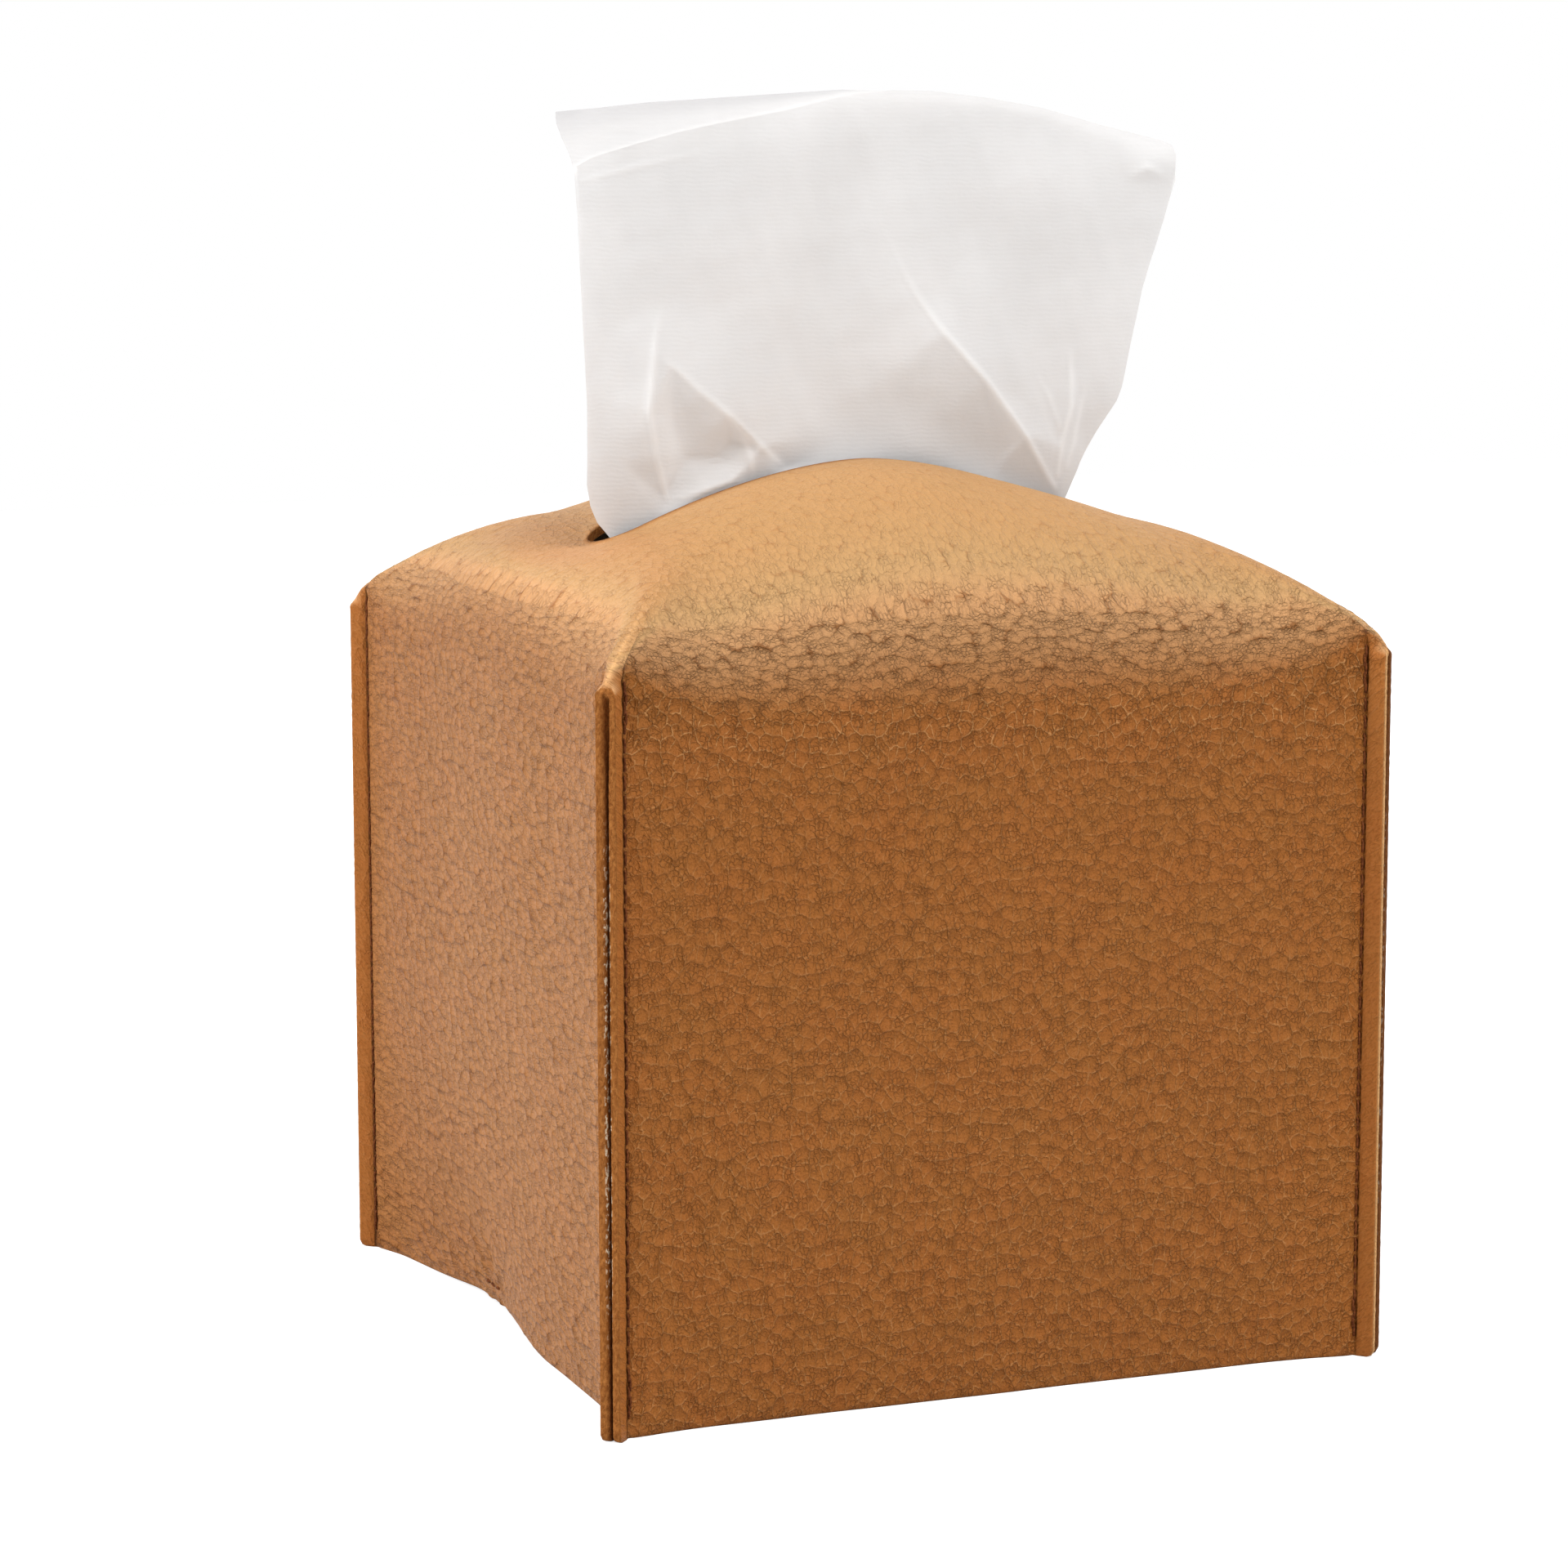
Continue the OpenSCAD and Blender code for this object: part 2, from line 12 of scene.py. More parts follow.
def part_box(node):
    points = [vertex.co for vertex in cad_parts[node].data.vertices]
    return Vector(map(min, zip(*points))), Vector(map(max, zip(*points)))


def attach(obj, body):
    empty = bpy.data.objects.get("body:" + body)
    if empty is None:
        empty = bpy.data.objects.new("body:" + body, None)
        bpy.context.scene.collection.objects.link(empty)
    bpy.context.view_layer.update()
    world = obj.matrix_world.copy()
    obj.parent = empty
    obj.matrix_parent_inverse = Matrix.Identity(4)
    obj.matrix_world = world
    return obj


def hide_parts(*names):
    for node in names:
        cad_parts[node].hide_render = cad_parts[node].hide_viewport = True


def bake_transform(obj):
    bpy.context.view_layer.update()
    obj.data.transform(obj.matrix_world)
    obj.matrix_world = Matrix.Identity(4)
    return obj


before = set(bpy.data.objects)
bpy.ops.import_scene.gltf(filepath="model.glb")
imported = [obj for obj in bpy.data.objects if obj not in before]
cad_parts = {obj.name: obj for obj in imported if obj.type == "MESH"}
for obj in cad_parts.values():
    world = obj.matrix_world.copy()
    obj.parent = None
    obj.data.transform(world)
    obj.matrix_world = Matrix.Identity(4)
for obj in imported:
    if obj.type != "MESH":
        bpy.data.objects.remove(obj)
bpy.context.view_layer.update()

MM = 0.001
# Sides and the corners at their far ends are numbered from the front one, anticlockwise
FRONT, RIGHT = 0, 1
CORNERS = ("front_right", "back_right", "back_left", "front_left")
shell_low, shell_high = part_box("leather_shell")

# Sizes of the cover, in millimetres. The leather's shape follows the same rules as its solid.
OVERALL_W = (shell_high.x - shell_low.x) / MM
SEAM_TOP_H = 115.0
LEATHER_T = 1.55
FLANGE_W = 3.1
FLANGE_GAP = 0.3
FLANGE_TOP_R = 4.2
SHOULDER_BOW = 1.6
FLANGE_FOOT_R = 1.2
WALL_HALF = OVERALL_W / 2 - (FLANGE_W + FLANGE_GAP / 2) / math.sqrt(2)
CREASE = LEATHER_T * math.sqrt(2)

WALL_ROLL_DROP = 12.0
CORNER_ROLL_DROP = 1.1
CORNER_ROLL_H = SEAM_TOP_H - CORNER_ROLL_DROP
FRONT_SHOULDER_RISE = 4.6
SIDE_SHOULDER_RISE = 7.0
CORNER_SHOULDER_RISE = 3.4
CREST_RISE = 23.9
CREST_H = SEAM_TOP_H + CREST_RISE
LIP_DROP = 12.2
FRONT_BEND = 22.4
SIDE_BEND = 7.0
CORNER_BEND = 26.6
HIP_RISE = 6.3
SLOT_HALF = OVERALL_W / 2 - 21.3
SLOT_R = 6.5

FRONT_EDGE_IN = 1.6
SIDE_EDGE_IN = 4.0
BAND_PULL = 3.6
BAND_LIFT = 0.8
PULL_H = 58.0
BAND_Y = 15.5
BAND_W = 8.0
BAND_T = 0.7
BAND_CLEAR = 0.15
BAND_TAB_L = 7.0

SHOULDER_POWER = 3.5
ROLL_POWER = 5
BEND_POWER = 2.1
LIP_POWER = 1.7
BEND_DROP_SHARE = 0.047
ROLL_INSET_SHARE = 0.7
RIDGE_SHARE = 0.2
LIP_STRAIGHT_SHARE = 0.8
LIP_WALL_TURN = 42.0
LIP_CORNER_TURN = 45.0 - LIP_WALL_TURN
PULL_WIDTH_SHARE = 0.6
EDGE_POWER = 8

STITCH_PITCH = 2.75
STITCH_GAP = 0.6
SEAM_MARGIN = 1.4
THREAD_D = 0.6
BACKTACK_STITCHES = 2
BACKTACK_SHARE = 0.4
TACK_H = 3.0


def mix(a, b, share):
    return a + (b - a) * share


def eased(x, low, high):
    """0 below low, 1 above high, and a smooth rise between them. Low may lie above high."""
    t = np.clip((x - low) / (high - low), 0, 1)
    return t * t * (3 - 2 * t)


def bell(x, width, middle=0):
    """1 in the middle, and a smooth fall to 0 on both sides of it."""
    return np.exp(-(((x - middle) / width) ** 2))


def turned(side, along, out):
    """x and y of a point that lies along and out from the middle of a side."""
    turn = np.radians(90 * side)
    return along * np.cos(turn) + out * np.sin(turn), along * np.sin(turn) - out * np.cos(turn)


def waves(points, length, seed, count=14):
    """Smooth noise from about -1 to 1 whose humps are about length apart."""
    rng = np.random.default_rng(seed)
    total = np.zeros(points.shape[:-1])
    for _ in range(count):
        direction = rng.normal(size=3)
        direction /= np.linalg.norm(direction)
        stretch = rng.uniform(0.7, 1.5)
        total += np.sin(points @ direction * (2 * math.pi / (length * stretch)) + rng.uniform(0, 6.3))
    return total * math.sqrt(2 / count) / 2


def grid_quads(index):
    """The quads between neighbouring rows and columns of a grid of point numbers."""
    corners = [index[:-1, :-1], index[:-1, 1:], index[1:, 1:], index[1:, :-1]]
    return np.stack(corners, axis=-1).reshape(-1, 4)


def grid_mesh(name, points, close_rows=False, close_columns=False):
    """A mesh of quads through points[row, column], in millimetres."""
    rows, columns = points.shape[:2]
    index = np.arange(rows * columns).reshape(rows, columns)
    if close_rows:
        index = np.vstack([index, index[:1]])
    if close_columns:
        index = np.hstack([index, index[:, :1]])
    return quad_mesh(name, points.reshape(-1, 3), grid_quads(index))


def quad_mesh(name, points, quads):
    mesh = bpy.data.meshes.new(name)
    mesh.vertices.add(len(points))
    mesh.vertices.foreach_set("co", (points * MM).astype(np.float32).ravel())
    mesh.loops.add(quads.size)
    mesh.loops.foreach_set("vertex_index", quads.astype(np.int32).ravel())
    mesh.polygons.add(len(quads))
    mesh.polygons.foreach_set("loop_start", np.arange(0, quads.size, 4, dtype=np.int32))
    mesh.polygons.foreach_set("use_smooth", np.ones(len(quads), bool))
    mesh.update(calc_edges=True)
    mesh.validate()
    return mesh


def add_object(name, data):
    item = bpy.data.objects.new(name, data)
    bpy.context.scene.collection.objects.link(item)
    return item


def add_piece(mesh, *materials):
    for material in materials:
        mesh.materials.append(material)
    return add_object(mesh.name, mesh)


def set_values(mesh, name, values):
    """Stores a number or a vector for each point of a mesh, for its material."""
    kind, field = ("FLOAT_VECTOR", "vector") if values.ndim == 3 else ("FLOAT", "value")
    layer = mesh.attributes.new(name, kind, "POINT")
    layer.data.foreach_set(field, values.astype(np.float32).ravel())


def place_piece(piece, body, slot, *nodes):
    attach(piece, body)
    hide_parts(*nodes)


class Nodes:
    """A node tree, with a short call for each node that is added to it."""

    def __init__(self, tree):
        self.tree = tree

    def feed(self, socket, value):
        """Links a value to a socket, or sets the socket's own number or colour."""
        if isinstance(value, bpy.types.NodeSocket):
            self.tree.links.new(value, socket)
        else:
            socket.default_value = value

    def add(self, kind, inputs=(), **settings):
        node = self.tree.nodes.new(kind)
        for name, value in settings.items():
            setattr(node, name, value)
        for name, value in dict(inputs).items():
            self.feed(node.inputs[name], value)
        return node

    def math(self, operation, a, b):
        return self.add("ShaderNodeMath", {0: a, 1: b}, operation=operation).outputs[0]

    def times(self, a, b):
        return self.math("MULTIPLY", a, b)

    def ramp(self, value, low, high, to_low=0.0, to_high=1.0):
        """A smooth rise from to_low to to_high while the value goes from low to high."""
        inputs = {0: value, 1: low, 2: high, 3: to_low, 4: to_high}
        return self.add("ShaderNodeMapRange", inputs, interpolation_type="SMOOTHSTEP").outputs[0]

    def blend(self, share, a, b):
        return self.add("ShaderNodeMix", {0: share, 6: a, 7: b}, data_type="RGBA").outputs[2]

    def attribute(self, name, output="Fac"):
        return self.add("ShaderNodeAttribute", attribute_name=name).outputs[output]

    def between(self, share, a, b):
        return self.add("ShaderNodeMix", {0: share, 2: a, 3: b}).outputs[0]

    def noise(self, vector, scale, detail=2.0, roughness=0.5, output="Fac"):
        inputs = {"Vector": vector, "Scale": scale, "Detail": detail, "Roughness": roughness}
        return self.add("ShaderNodeTexNoise", inputs).outputs[output]

    def cells(self, vector, scale, feature):
        inputs = {"Vector": vector, "Scale": scale, "Randomness": 0.9}
        node = self.add("ShaderNodeTexVoronoi", inputs, feature=feature, voronoi_dimensions="2D")
        return node.outputs["Distance"]

    def bands(self, vector, direction, scale, distortion, detail):
        inputs = {"Vector": vector, "Scale": scale, "Distortion": distortion, "Detail": detail}
        return self.add("ShaderNodeTexWave", inputs, bands_direction=direction).outputs["Fac"]

    def object_place(self):
        return self.add("ShaderNodeTexCoord").outputs["Object"]

    def dress(self, shader, tint, strength, distance, height):
        """Gives a shader its colour and its bump, whose distance is in metres."""
        inputs = {"Strength": strength, "Distance": distance, "Height": height}
        bump = self.add("ShaderNodeBump", inputs).outputs[0]
        self.feed(shader.inputs["Base Color"], tint)
        self.feed(shader.inputs["Normal"], bump)
        return bump


def new_material(name, **values):
    """A material with one Principled shader, whose sockets are set from values."""
    material = bpy.data.materials.new(name)
    material.use_nodes = True
    shader = next(n for n in material.node_tree.nodes if n.type == "BSDF_PRINCIPLED")
    for socket, value in values.items():
        shader.inputs[socket.replace("_", " ")].default_value = value
    return material, Nodes(material.node_tree), shader


def colour(red, green, blue):
    return (red, green, blue, 1.0)


# Materials

# The leather's colours: its skin, the specks on it, the painted light on the flat top and on the roll and end
# walls, the painted shade in the low grain, the painted highlight in its creases, the cut edges, the wear
# with painted highlight on hips and edges, the torn fibres, and the painted shade
SKIN = colour(0.422, 0.142, 0.029), colour(0.410, 0.145, 0.030)
SPECKS = colour(0.21, 0.066, 0.008)
PAINTED_LIGHT_TOP, PAINTED_LIGHT_ROLL = colour(0.575, 0.36, 0.158), colour(0.64, 0.345, 0.152)
PAINTED_GRAIN_SHADE = colour(0.20, 0.062, 0.010)
PAINTED_CREASE_HIGHLIGHT = colour(0.62, 0.29, 0.10)
CUT_EDGE = colour(0.27, 0.088, 0.017), colour(0.45, 0.170, 0.040)
WORN_AND_LIT_EDGE = colour(0.92, 0.52, 0.22)
TORN_FIBRE = colour(0.92, 0.78, 0.58)
SHADED = colour(0.11, 0.035, 0.010)

# The grain, in widths of its coarse cells
LINE_W = 0.07
CREASE_W = 0.16
DOME_BOW = 1.5
FINE_SCALE = 1.35
FOLD_SCALE = 2.6
STIRS = ((0.9, 0.55), (3.3, 0.2))
DOME_SHARE = 0.9
FOLDS_SHARE = 0.25
# How far the grain stands out of the mesh, and in the material, in millimetres
RELIEF_H = 0.16
BUMP_H = 1.15


def grain(nodes, place, coarse):
    """How high a point of the grain lies, from 0 in a crease to 1, and how far it is from a crease."""
    for scale, reach in STIRS:
        inputs = {0: nodes.noise(place, scale, 2.0, 0.6, "Color"), 1: (reach, reach, 0.0), 2: place}
        place = nodes.add("ShaderNodeVectorMath", inputs, operation="MULTIPLY_ADD").outputs[0]
    edge, middle = (
        nodes.between(coarse, nodes.cells(place, FINE_SCALE, feature), nodes.cells(place, 1.0, feature))
        for feature in ("DISTANCE_TO_EDGE", "F1"))
    folded = nodes.ramp(nodes.noise(place, 0.8), 0.42, 0.6, 0.2, 1.0)
    folds = nodes.ramp(nodes.cells(place, FOLD_SCALE, "DISTANCE_TO_EDGE"), 0.0, 0.2)
    dome = nodes.math("SUBTRACT", 1.0, nodes.times(nodes.times(middle, middle), DOME_BOW))
    height = nodes.between(DOME_SHARE, nodes.ramp(edge, 0.0, CREASE_W), dome)
    return nodes.between(FOLDS_SHARE, height, nodes.between(folded, 1.0, folds)), edge


def leather_material():
    """Tan leather: cells of grain with painted highlights in their creases and painted light and shade on
    their domes, and rough suede where an edge is cut.
    """
    material, nodes, shader = new_material("tan_leather", Specular_IOR_Level=0.12)
    place = nodes.attribute("grain_place", "Vector")
    relief, raw, coarse = (nodes.attribute(name) for name in ("relief", "raw", "coarse"))
    height, edge = grain(nodes, place, coarse)
    speck = nodes.noise(place, 5.0, 4.0, 0.65)
    mottle = nodes.noise(place, 0.22, 3.0)
    broken = nodes.ramp(nodes.noise(place, 1.3), 0.4, 0.6, 0.2, 1.0)
    fibre = nodes.noise(nodes.attribute("fibre_place", "Vector"), 1.0, 4.0, 0.65)

    # Painted light: the pale tint is strongest on the dome tops of the grain and left out of its creases
    lit_dome_tops = nodes.ramp(height, 0.05, 0.6, nodes.between(coarse, 0.8, 0.4), 1.0)
    # Painted highlight along the creases of the grain, broken up by noise
    line = nodes.times(nodes.ramp(edge, LINE_W, 0.01), broken)
    skin = nodes.blend(nodes.ramp(mottle, 0.35, 0.65), *SKIN)
    for share, tint in (
        (nodes.ramp(speck, 0.42, 0.68, 0.0, 0.5), SPECKS),
        (nodes.times(nodes.attribute("painted_light"), lit_dome_tops), nodes.blend(coarse, PAINTED_LIGHT_TOP, PAINTED_LIGHT_ROLL)),
        # Painted shade in the low parts of the grain, round its domes
        (nodes.times(nodes.ramp(height, 0.6, 0.15), nodes.times(relief, 0.22)), PAINTED_GRAIN_SHADE),
        (nodes.times(line, nodes.attribute("lines")), PAINTED_CREASE_HIGHLIGHT),
        (raw, nodes.blend(nodes.ramp(fibre, 0.35, 0.68), *CUT_EDGE)),
        (nodes.times(nodes.attribute("wear_and_highlight"), nodes.ramp(speck, 0.35, 0.65, 0.5, 1.0)), WORN_AND_LIT_EDGE),
        (nodes.times(nodes.attribute("fuzz"), nodes.ramp(fibre, 0.52, 0.6)), TORN_FIBRE),
        (nodes.attribute("shade"), SHADED),
    ):
        skin = nodes.blend(share, skin, tint)

    rough = nodes.math("ADD", nodes.ramp(speck, 0.3, 0.7, 0.42, 0.56), nodes.times(raw, 0.4))
    nodes.feed(shader.inputs["Roughness"], rough)
    height = nodes.times(nodes.math("ADD", height, nodes.times(speck, 0.25)), relief)
    height = nodes.math("ADD", height, nodes.times(raw, nodes.times(fibre, 0.6)))
    nodes.dress(shader, skin, 1.0, BUMP_H * MM, height)
    return material


def noisy_material(name, noise, tints, bump, spread=(0.3, 0.7), patches=None, **values):
    """A material whose colour and height follow one noise. Patches are the scale and the colour of
    a soft second one."""
    material, nodes, shader = new_material(name, **values)
    place = nodes.object_place()
    height = nodes.noise(place, *noise)
    tint = nodes.blend(nodes.ramp(height, *spread), *tints)
    if patches:
        scale, patch_tint = patches
        tint = nodes.blend(nodes.ramp(nodes.noise(place, scale), 0.3, 0.7, 0.0, 0.3), tint, patch_tint)
    nodes.dress(shader, tint, *bump, height)
    return material


def elastic_material():
    material, nodes, shader = new_material("ribbed_elastic", Roughness=0.8)
    yarn = nodes.bands(nodes.object_place(), "X", 700.0, 2.0, 2.0)
    tint = nodes.blend(yarn, colour(0.022, 0.015, 0.011), colour(0.055, 0.040, 0.030))
    nodes.dress(shader, tint, 0.7, 0.0001, yarn)
    return material


def tissue_material(name, see_through):
    """Thin soft paper, which lets a share of the light behind it through."""
    material, nodes, shader = new_material(name, Roughness=0.9, Specular_IOR_Level=0.2)
    place = nodes.object_place()
    fibres = nodes.noise(place, 1500.0, 4.0, 0.7)
    cloud = nodes.ramp(nodes.noise(place, 55.0, 3.0), 0.3, 0.7)
    crepe = nodes.bands(place, "Z", 420.0, 5.0, 3.0)
    tint = nodes.blend(cloud, colour(0.825, 0.821, 0.820), colour(0.86, 0.856, 0.855))
    # Painted highlight along the sheet's sharp creases
    tint = nodes.blend(nodes.attribute("crease_and_highlight"), tint, colour(0.95, 0.948, 0.946))
    # Painted shade over the strip of the back layer above the front one, darker towards its top edge
    tint = nodes.blend(nodes.attribute("rim"), tint, colour(0.66, 0.655, 0.665))
    height = nodes.math("ADD", nodes.times(fibres, 0.6), nodes.times(crepe, 0.35))
    bump = nodes.dress(shader, tint, 0.35, 0.0001, height)
    through = nodes.add("ShaderNodeBsdfTranslucent", {"Color": tint, "Normal": bump})
    both = nodes.add("ShaderNodeMixShader", {0: see_through, 1: shader.outputs[0], 2: through.outputs[0]})
    output = next(n for n in material.node_tree.nodes if n.type == "OUTPUT_MATERIAL")
    nodes.feed(output.inputs["Surface"], both.outputs[0])
    return material


leather = leather_material()
backing = noisy_material(
    "leather_backing", (900.0, 4.0, 0.7), (colour(0.24, 0.155, 0.085), colour(0.40, 0.29, 0.18)),
    bump=(0.6, 0.0002), patches=(60.0, colour(0.45, 0.34, 0.22)), Roughness=0.95)
thread = noisy_material(
    "waxed_thread", (2600.0, 3.0), (colour(0.095, 0.026, 0.008), colour(0.20, 0.062, 0.019)),
    bump=(0.5, 0.00006), spread=(0.35, 0.65), Roughness=0.7, Specular_IOR_Level=0.08)
elastic = elastic_material()
cardboard = noisy_material(
    "carton_board", (500.0, 4.0, 0.65), (colour(0.52, 0.46, 0.37), colour(0.62, 0.56, 0.46)),
    bump=(0.3, 0.0001), patches=(40.0, colour(0.68, 0.63, 0.54)), Roughness=0.75)
clear_film = noisy_material(
    "clear_film", (90.0, 2.0), (colour(0.72, 0.76, 0.80), colour(0.86, 0.89, 0.92)),
    bump=(0.5, 0.0006), Roughness=0.12, Alpha=0.28, IOR=1.45)
tissue_paper = tissue_material("tissue_paper", 0.46)
folded_tissues = tissue_material("folded_tissues", 0.1)

# The leather, one closed skin: from the slot's lip over the outside to the bottom edge, and back
# up the inside

QUAD = 0.8
# Steps out along a flange's face, and along a wall away from its crease
FACE_STEPS = [0.3, 0.65, 1.05, 1.5, 1.95, 2.4, 2.75]
CREASE_STEPS = [0.3, 0.6, 0.95, 1.35, 1.8, 2.4, 3.1]
# Across and out, in millimetres, over half of a flange's outer end: its rounded corner, the raw
# edge and the way into the gap between the two layers
CUT_POINTS = [
    (0.05, 2.96), (0.17, 3.07), (0.36, 3.1), (0.6, 3.1), (0.84, 3.09),
    (1.0, 3.04), (1.1, 2.92), (1.18, 2.65), (1.26, 2.2), (1.32, 1.6),
]
GAP_FLOOR = (LEATHER_T, 1.3)
# The arch over the gap of a flange, where its two raw edges meet
ARCH_TOP = SEAM_TOP_H - 2.9
ARCH_R = 1.5
GAP_ARCH_TOP = ARCH_TOP - 1.0
GAP_ARCH_H = 1.4
GAP_CLOSING = 0.2
FOLD_POWER = 2.6
EDGE_FILL = 1.9
# Rows of points, which lie closer together in the walls' upper part and where the roof begins
LOWEST_ROW_H = 0.25
CLOSE_ROWS_H = 8
CLOSE_ROWS = 19
ROOF_ROWS, ROOF_ROW_POWER = 92, 1.15
INNER_WALL_ROWS, INNER_ROOF_ROWS = 22, 16
EDGE_SHARES = (0.14, 0.5, 0.86)
EDGE_BULGE = 0.25
# Small forms of the outside: valleys along the seams, the roll beside them, and soft swells
VALLEY_D, VALLEY_W = 0.24, 0.6
ROLL_UP_H, ROLL_UP_OUT, ROLL_UP_W = 0.16, 3.2, 2.2
RAW_ROUGH_H = 0.03
CALM_W = 9.0
FIRST_HOLE_H = SEAM_TOP_H - 0.5
# The softened hips of the roof, and how far the colours of front and side mix there
HIP_FLAT_H = SEAM_TOP_H + 5
HIP_SPREAD = 1.8
COLOUR_SPREAD = 6.0
RING_STEPS = 1024
FULL_SOFT, NO_SOFT = 0.85, 0.97


def wall_places():
    """Places across a wall from -1 to 1, close together beside its two creases."""
    half = WALL_HALF - CREASE
    middle_half = half - CREASE_STEPS[-1]
    middle = np.linspace(-middle_half, middle_half, round(2 * middle_half / QUAD) + 1)
    beside = half - np.array([0.0] + CREASE_STEPS[:-1])
    return np.concatenate([-beside, middle, beside[::-1]]) / half


def flange_points():
    """Across and out of the points between the two creases of a full flange, in millimetres."""
    half = [(0.0, out) for out in FACE_STEPS] + CUT_POINTS
    mirrored = [(2 * LEATHER_T - across, out) for across, out in reversed(half)]
    return np.array(half + [GAP_FLOOR] + mirrored)


class Columns:
    """The upright lines of the skin, all the way round: each wall and then its far corner."""

    def __init__(self):
        places, flange = wall_places(), flange_points()
        count = len(flange)
        self.side = np.repeat(np.arange(4), len(places) + count)
        one_place = np.concatenate([places, np.ones(count)])
        one_turn = np.concatenate([np.zeros(len(places)), np.arange(1, count + 1) / (count + 1)])
        one_flange = np.vstack([np.zeros((len(places), 2)), flange])
        self.place, self.turn = np.tile(one_place, 4), np.tile(one_turn, 4)
        self.across, self.out = np.tile(one_flange, (4, 1)).T
        self.corner = self.turn > 0
        self.off_middle = np.abs(self.across - LEATHER_T)
        self.edge_on = self.corner & (self.off_middle < LEATHER_T - 1e-6)
        self.end_wall = self.side % 2 == 1
        # How far a line lies from the nearer crease, along the wall or along the flange
        self.from_crease = np.where(self.corner, self.out, (1 - np.abs(self.place)) * (WALL_HALF - CREASE))


def band_hump(columns):
    middle = np.where(columns.side == RIGHT, 1, -1) * BAND_Y / (WALL_HALF - CREASE)
    off = (columns.place - middle) / PULL_WIDTH_SHARE
    return np.where(columns.end_wall & (np.abs(off) < 1), np.cos(np.pi / 2 * off) ** 2, 0)


def flange_share(z):
    foot = FLANGE_FOOT_R - np.sqrt(np.maximum(FLANGE_FOOT_R**2 - (FLANGE_FOOT_R - z) ** 2, 0))
    top = 1 - np.clip((z - SEAM_TOP_H + FLANGE_TOP_R) / FLANGE_TOP_R, 0, 1) ** SHOULDER_BOW
    share = np.where(z < FLANGE_FOOT_R, 1 - foot / FLANGE_W, 1)
    share = np.where(z > SEAM_TOP_H - FLANGE_TOP_R, top, share)
    return np.where(z > SEAM_TOP_H, 0, share)


def cut_share(z):
    """1 where a flange shows two raw edges, and 0 above the arch that joins them."""
    return eased(z, ARCH_TOP + 0.6, ARCH_TOP - 1.2)


def flange_offset(columns, z):
    """What the flange adds to a corner's line, along and out from its side's middle."""
    share, cut = flange_share(z), cut_share(z)
    thick = 2 * LEATHER_T
    fold_across = thick * columns.turn
    fold_out = FLANGE_W * (1 - np.abs(2 * columns.turn - 1) ** FOLD_POWER)
    gap = eased(z, GAP_ARCH_TOP, GAP_ARCH_TOP - GAP_ARCH_H)
    cut_out = np.where(columns.across % thick == LEATHER_T, mix(FLANGE_W, columns.out, gap), columns.out)
    cut_out = mix(np.minimum(FLANGE_W, columns.out + EDGE_FILL * columns.edge_on), cut_out, gap)
    closed = GAP_CLOSING * eased(z, ARCH_TOP - 6, ARCH_TOP - 16) * eased(columns.off_middle, 0.7, 0.4)
    spread = np.sign(columns.across - LEATHER_T) * (FLANGE_GAP / 2 * columns.out / FLANGE_W - closed)
    across = mix(fold_across, columns.across + spread, cut)
    out = mix(fold_out, cut_out, cut)
    ridge = RIDGE_SHARE * CREASE * (1 - (2 * columns.turn - 1) ** 2) * eased(z, HIP_FLAT_H, SEAM_TOP_H)
    shift = (mix(columns.turn * thick, across, share) - columns.turn * thick) / math.sqrt(2)
    out = mix(ridge, out, share) / math.sqrt(2)
    return shift + out, out - shift


def lip_height(x):
    return CREST_H - LIP_DROP * (np.abs(x) / SLOT_HALF) ** LIP_POWER


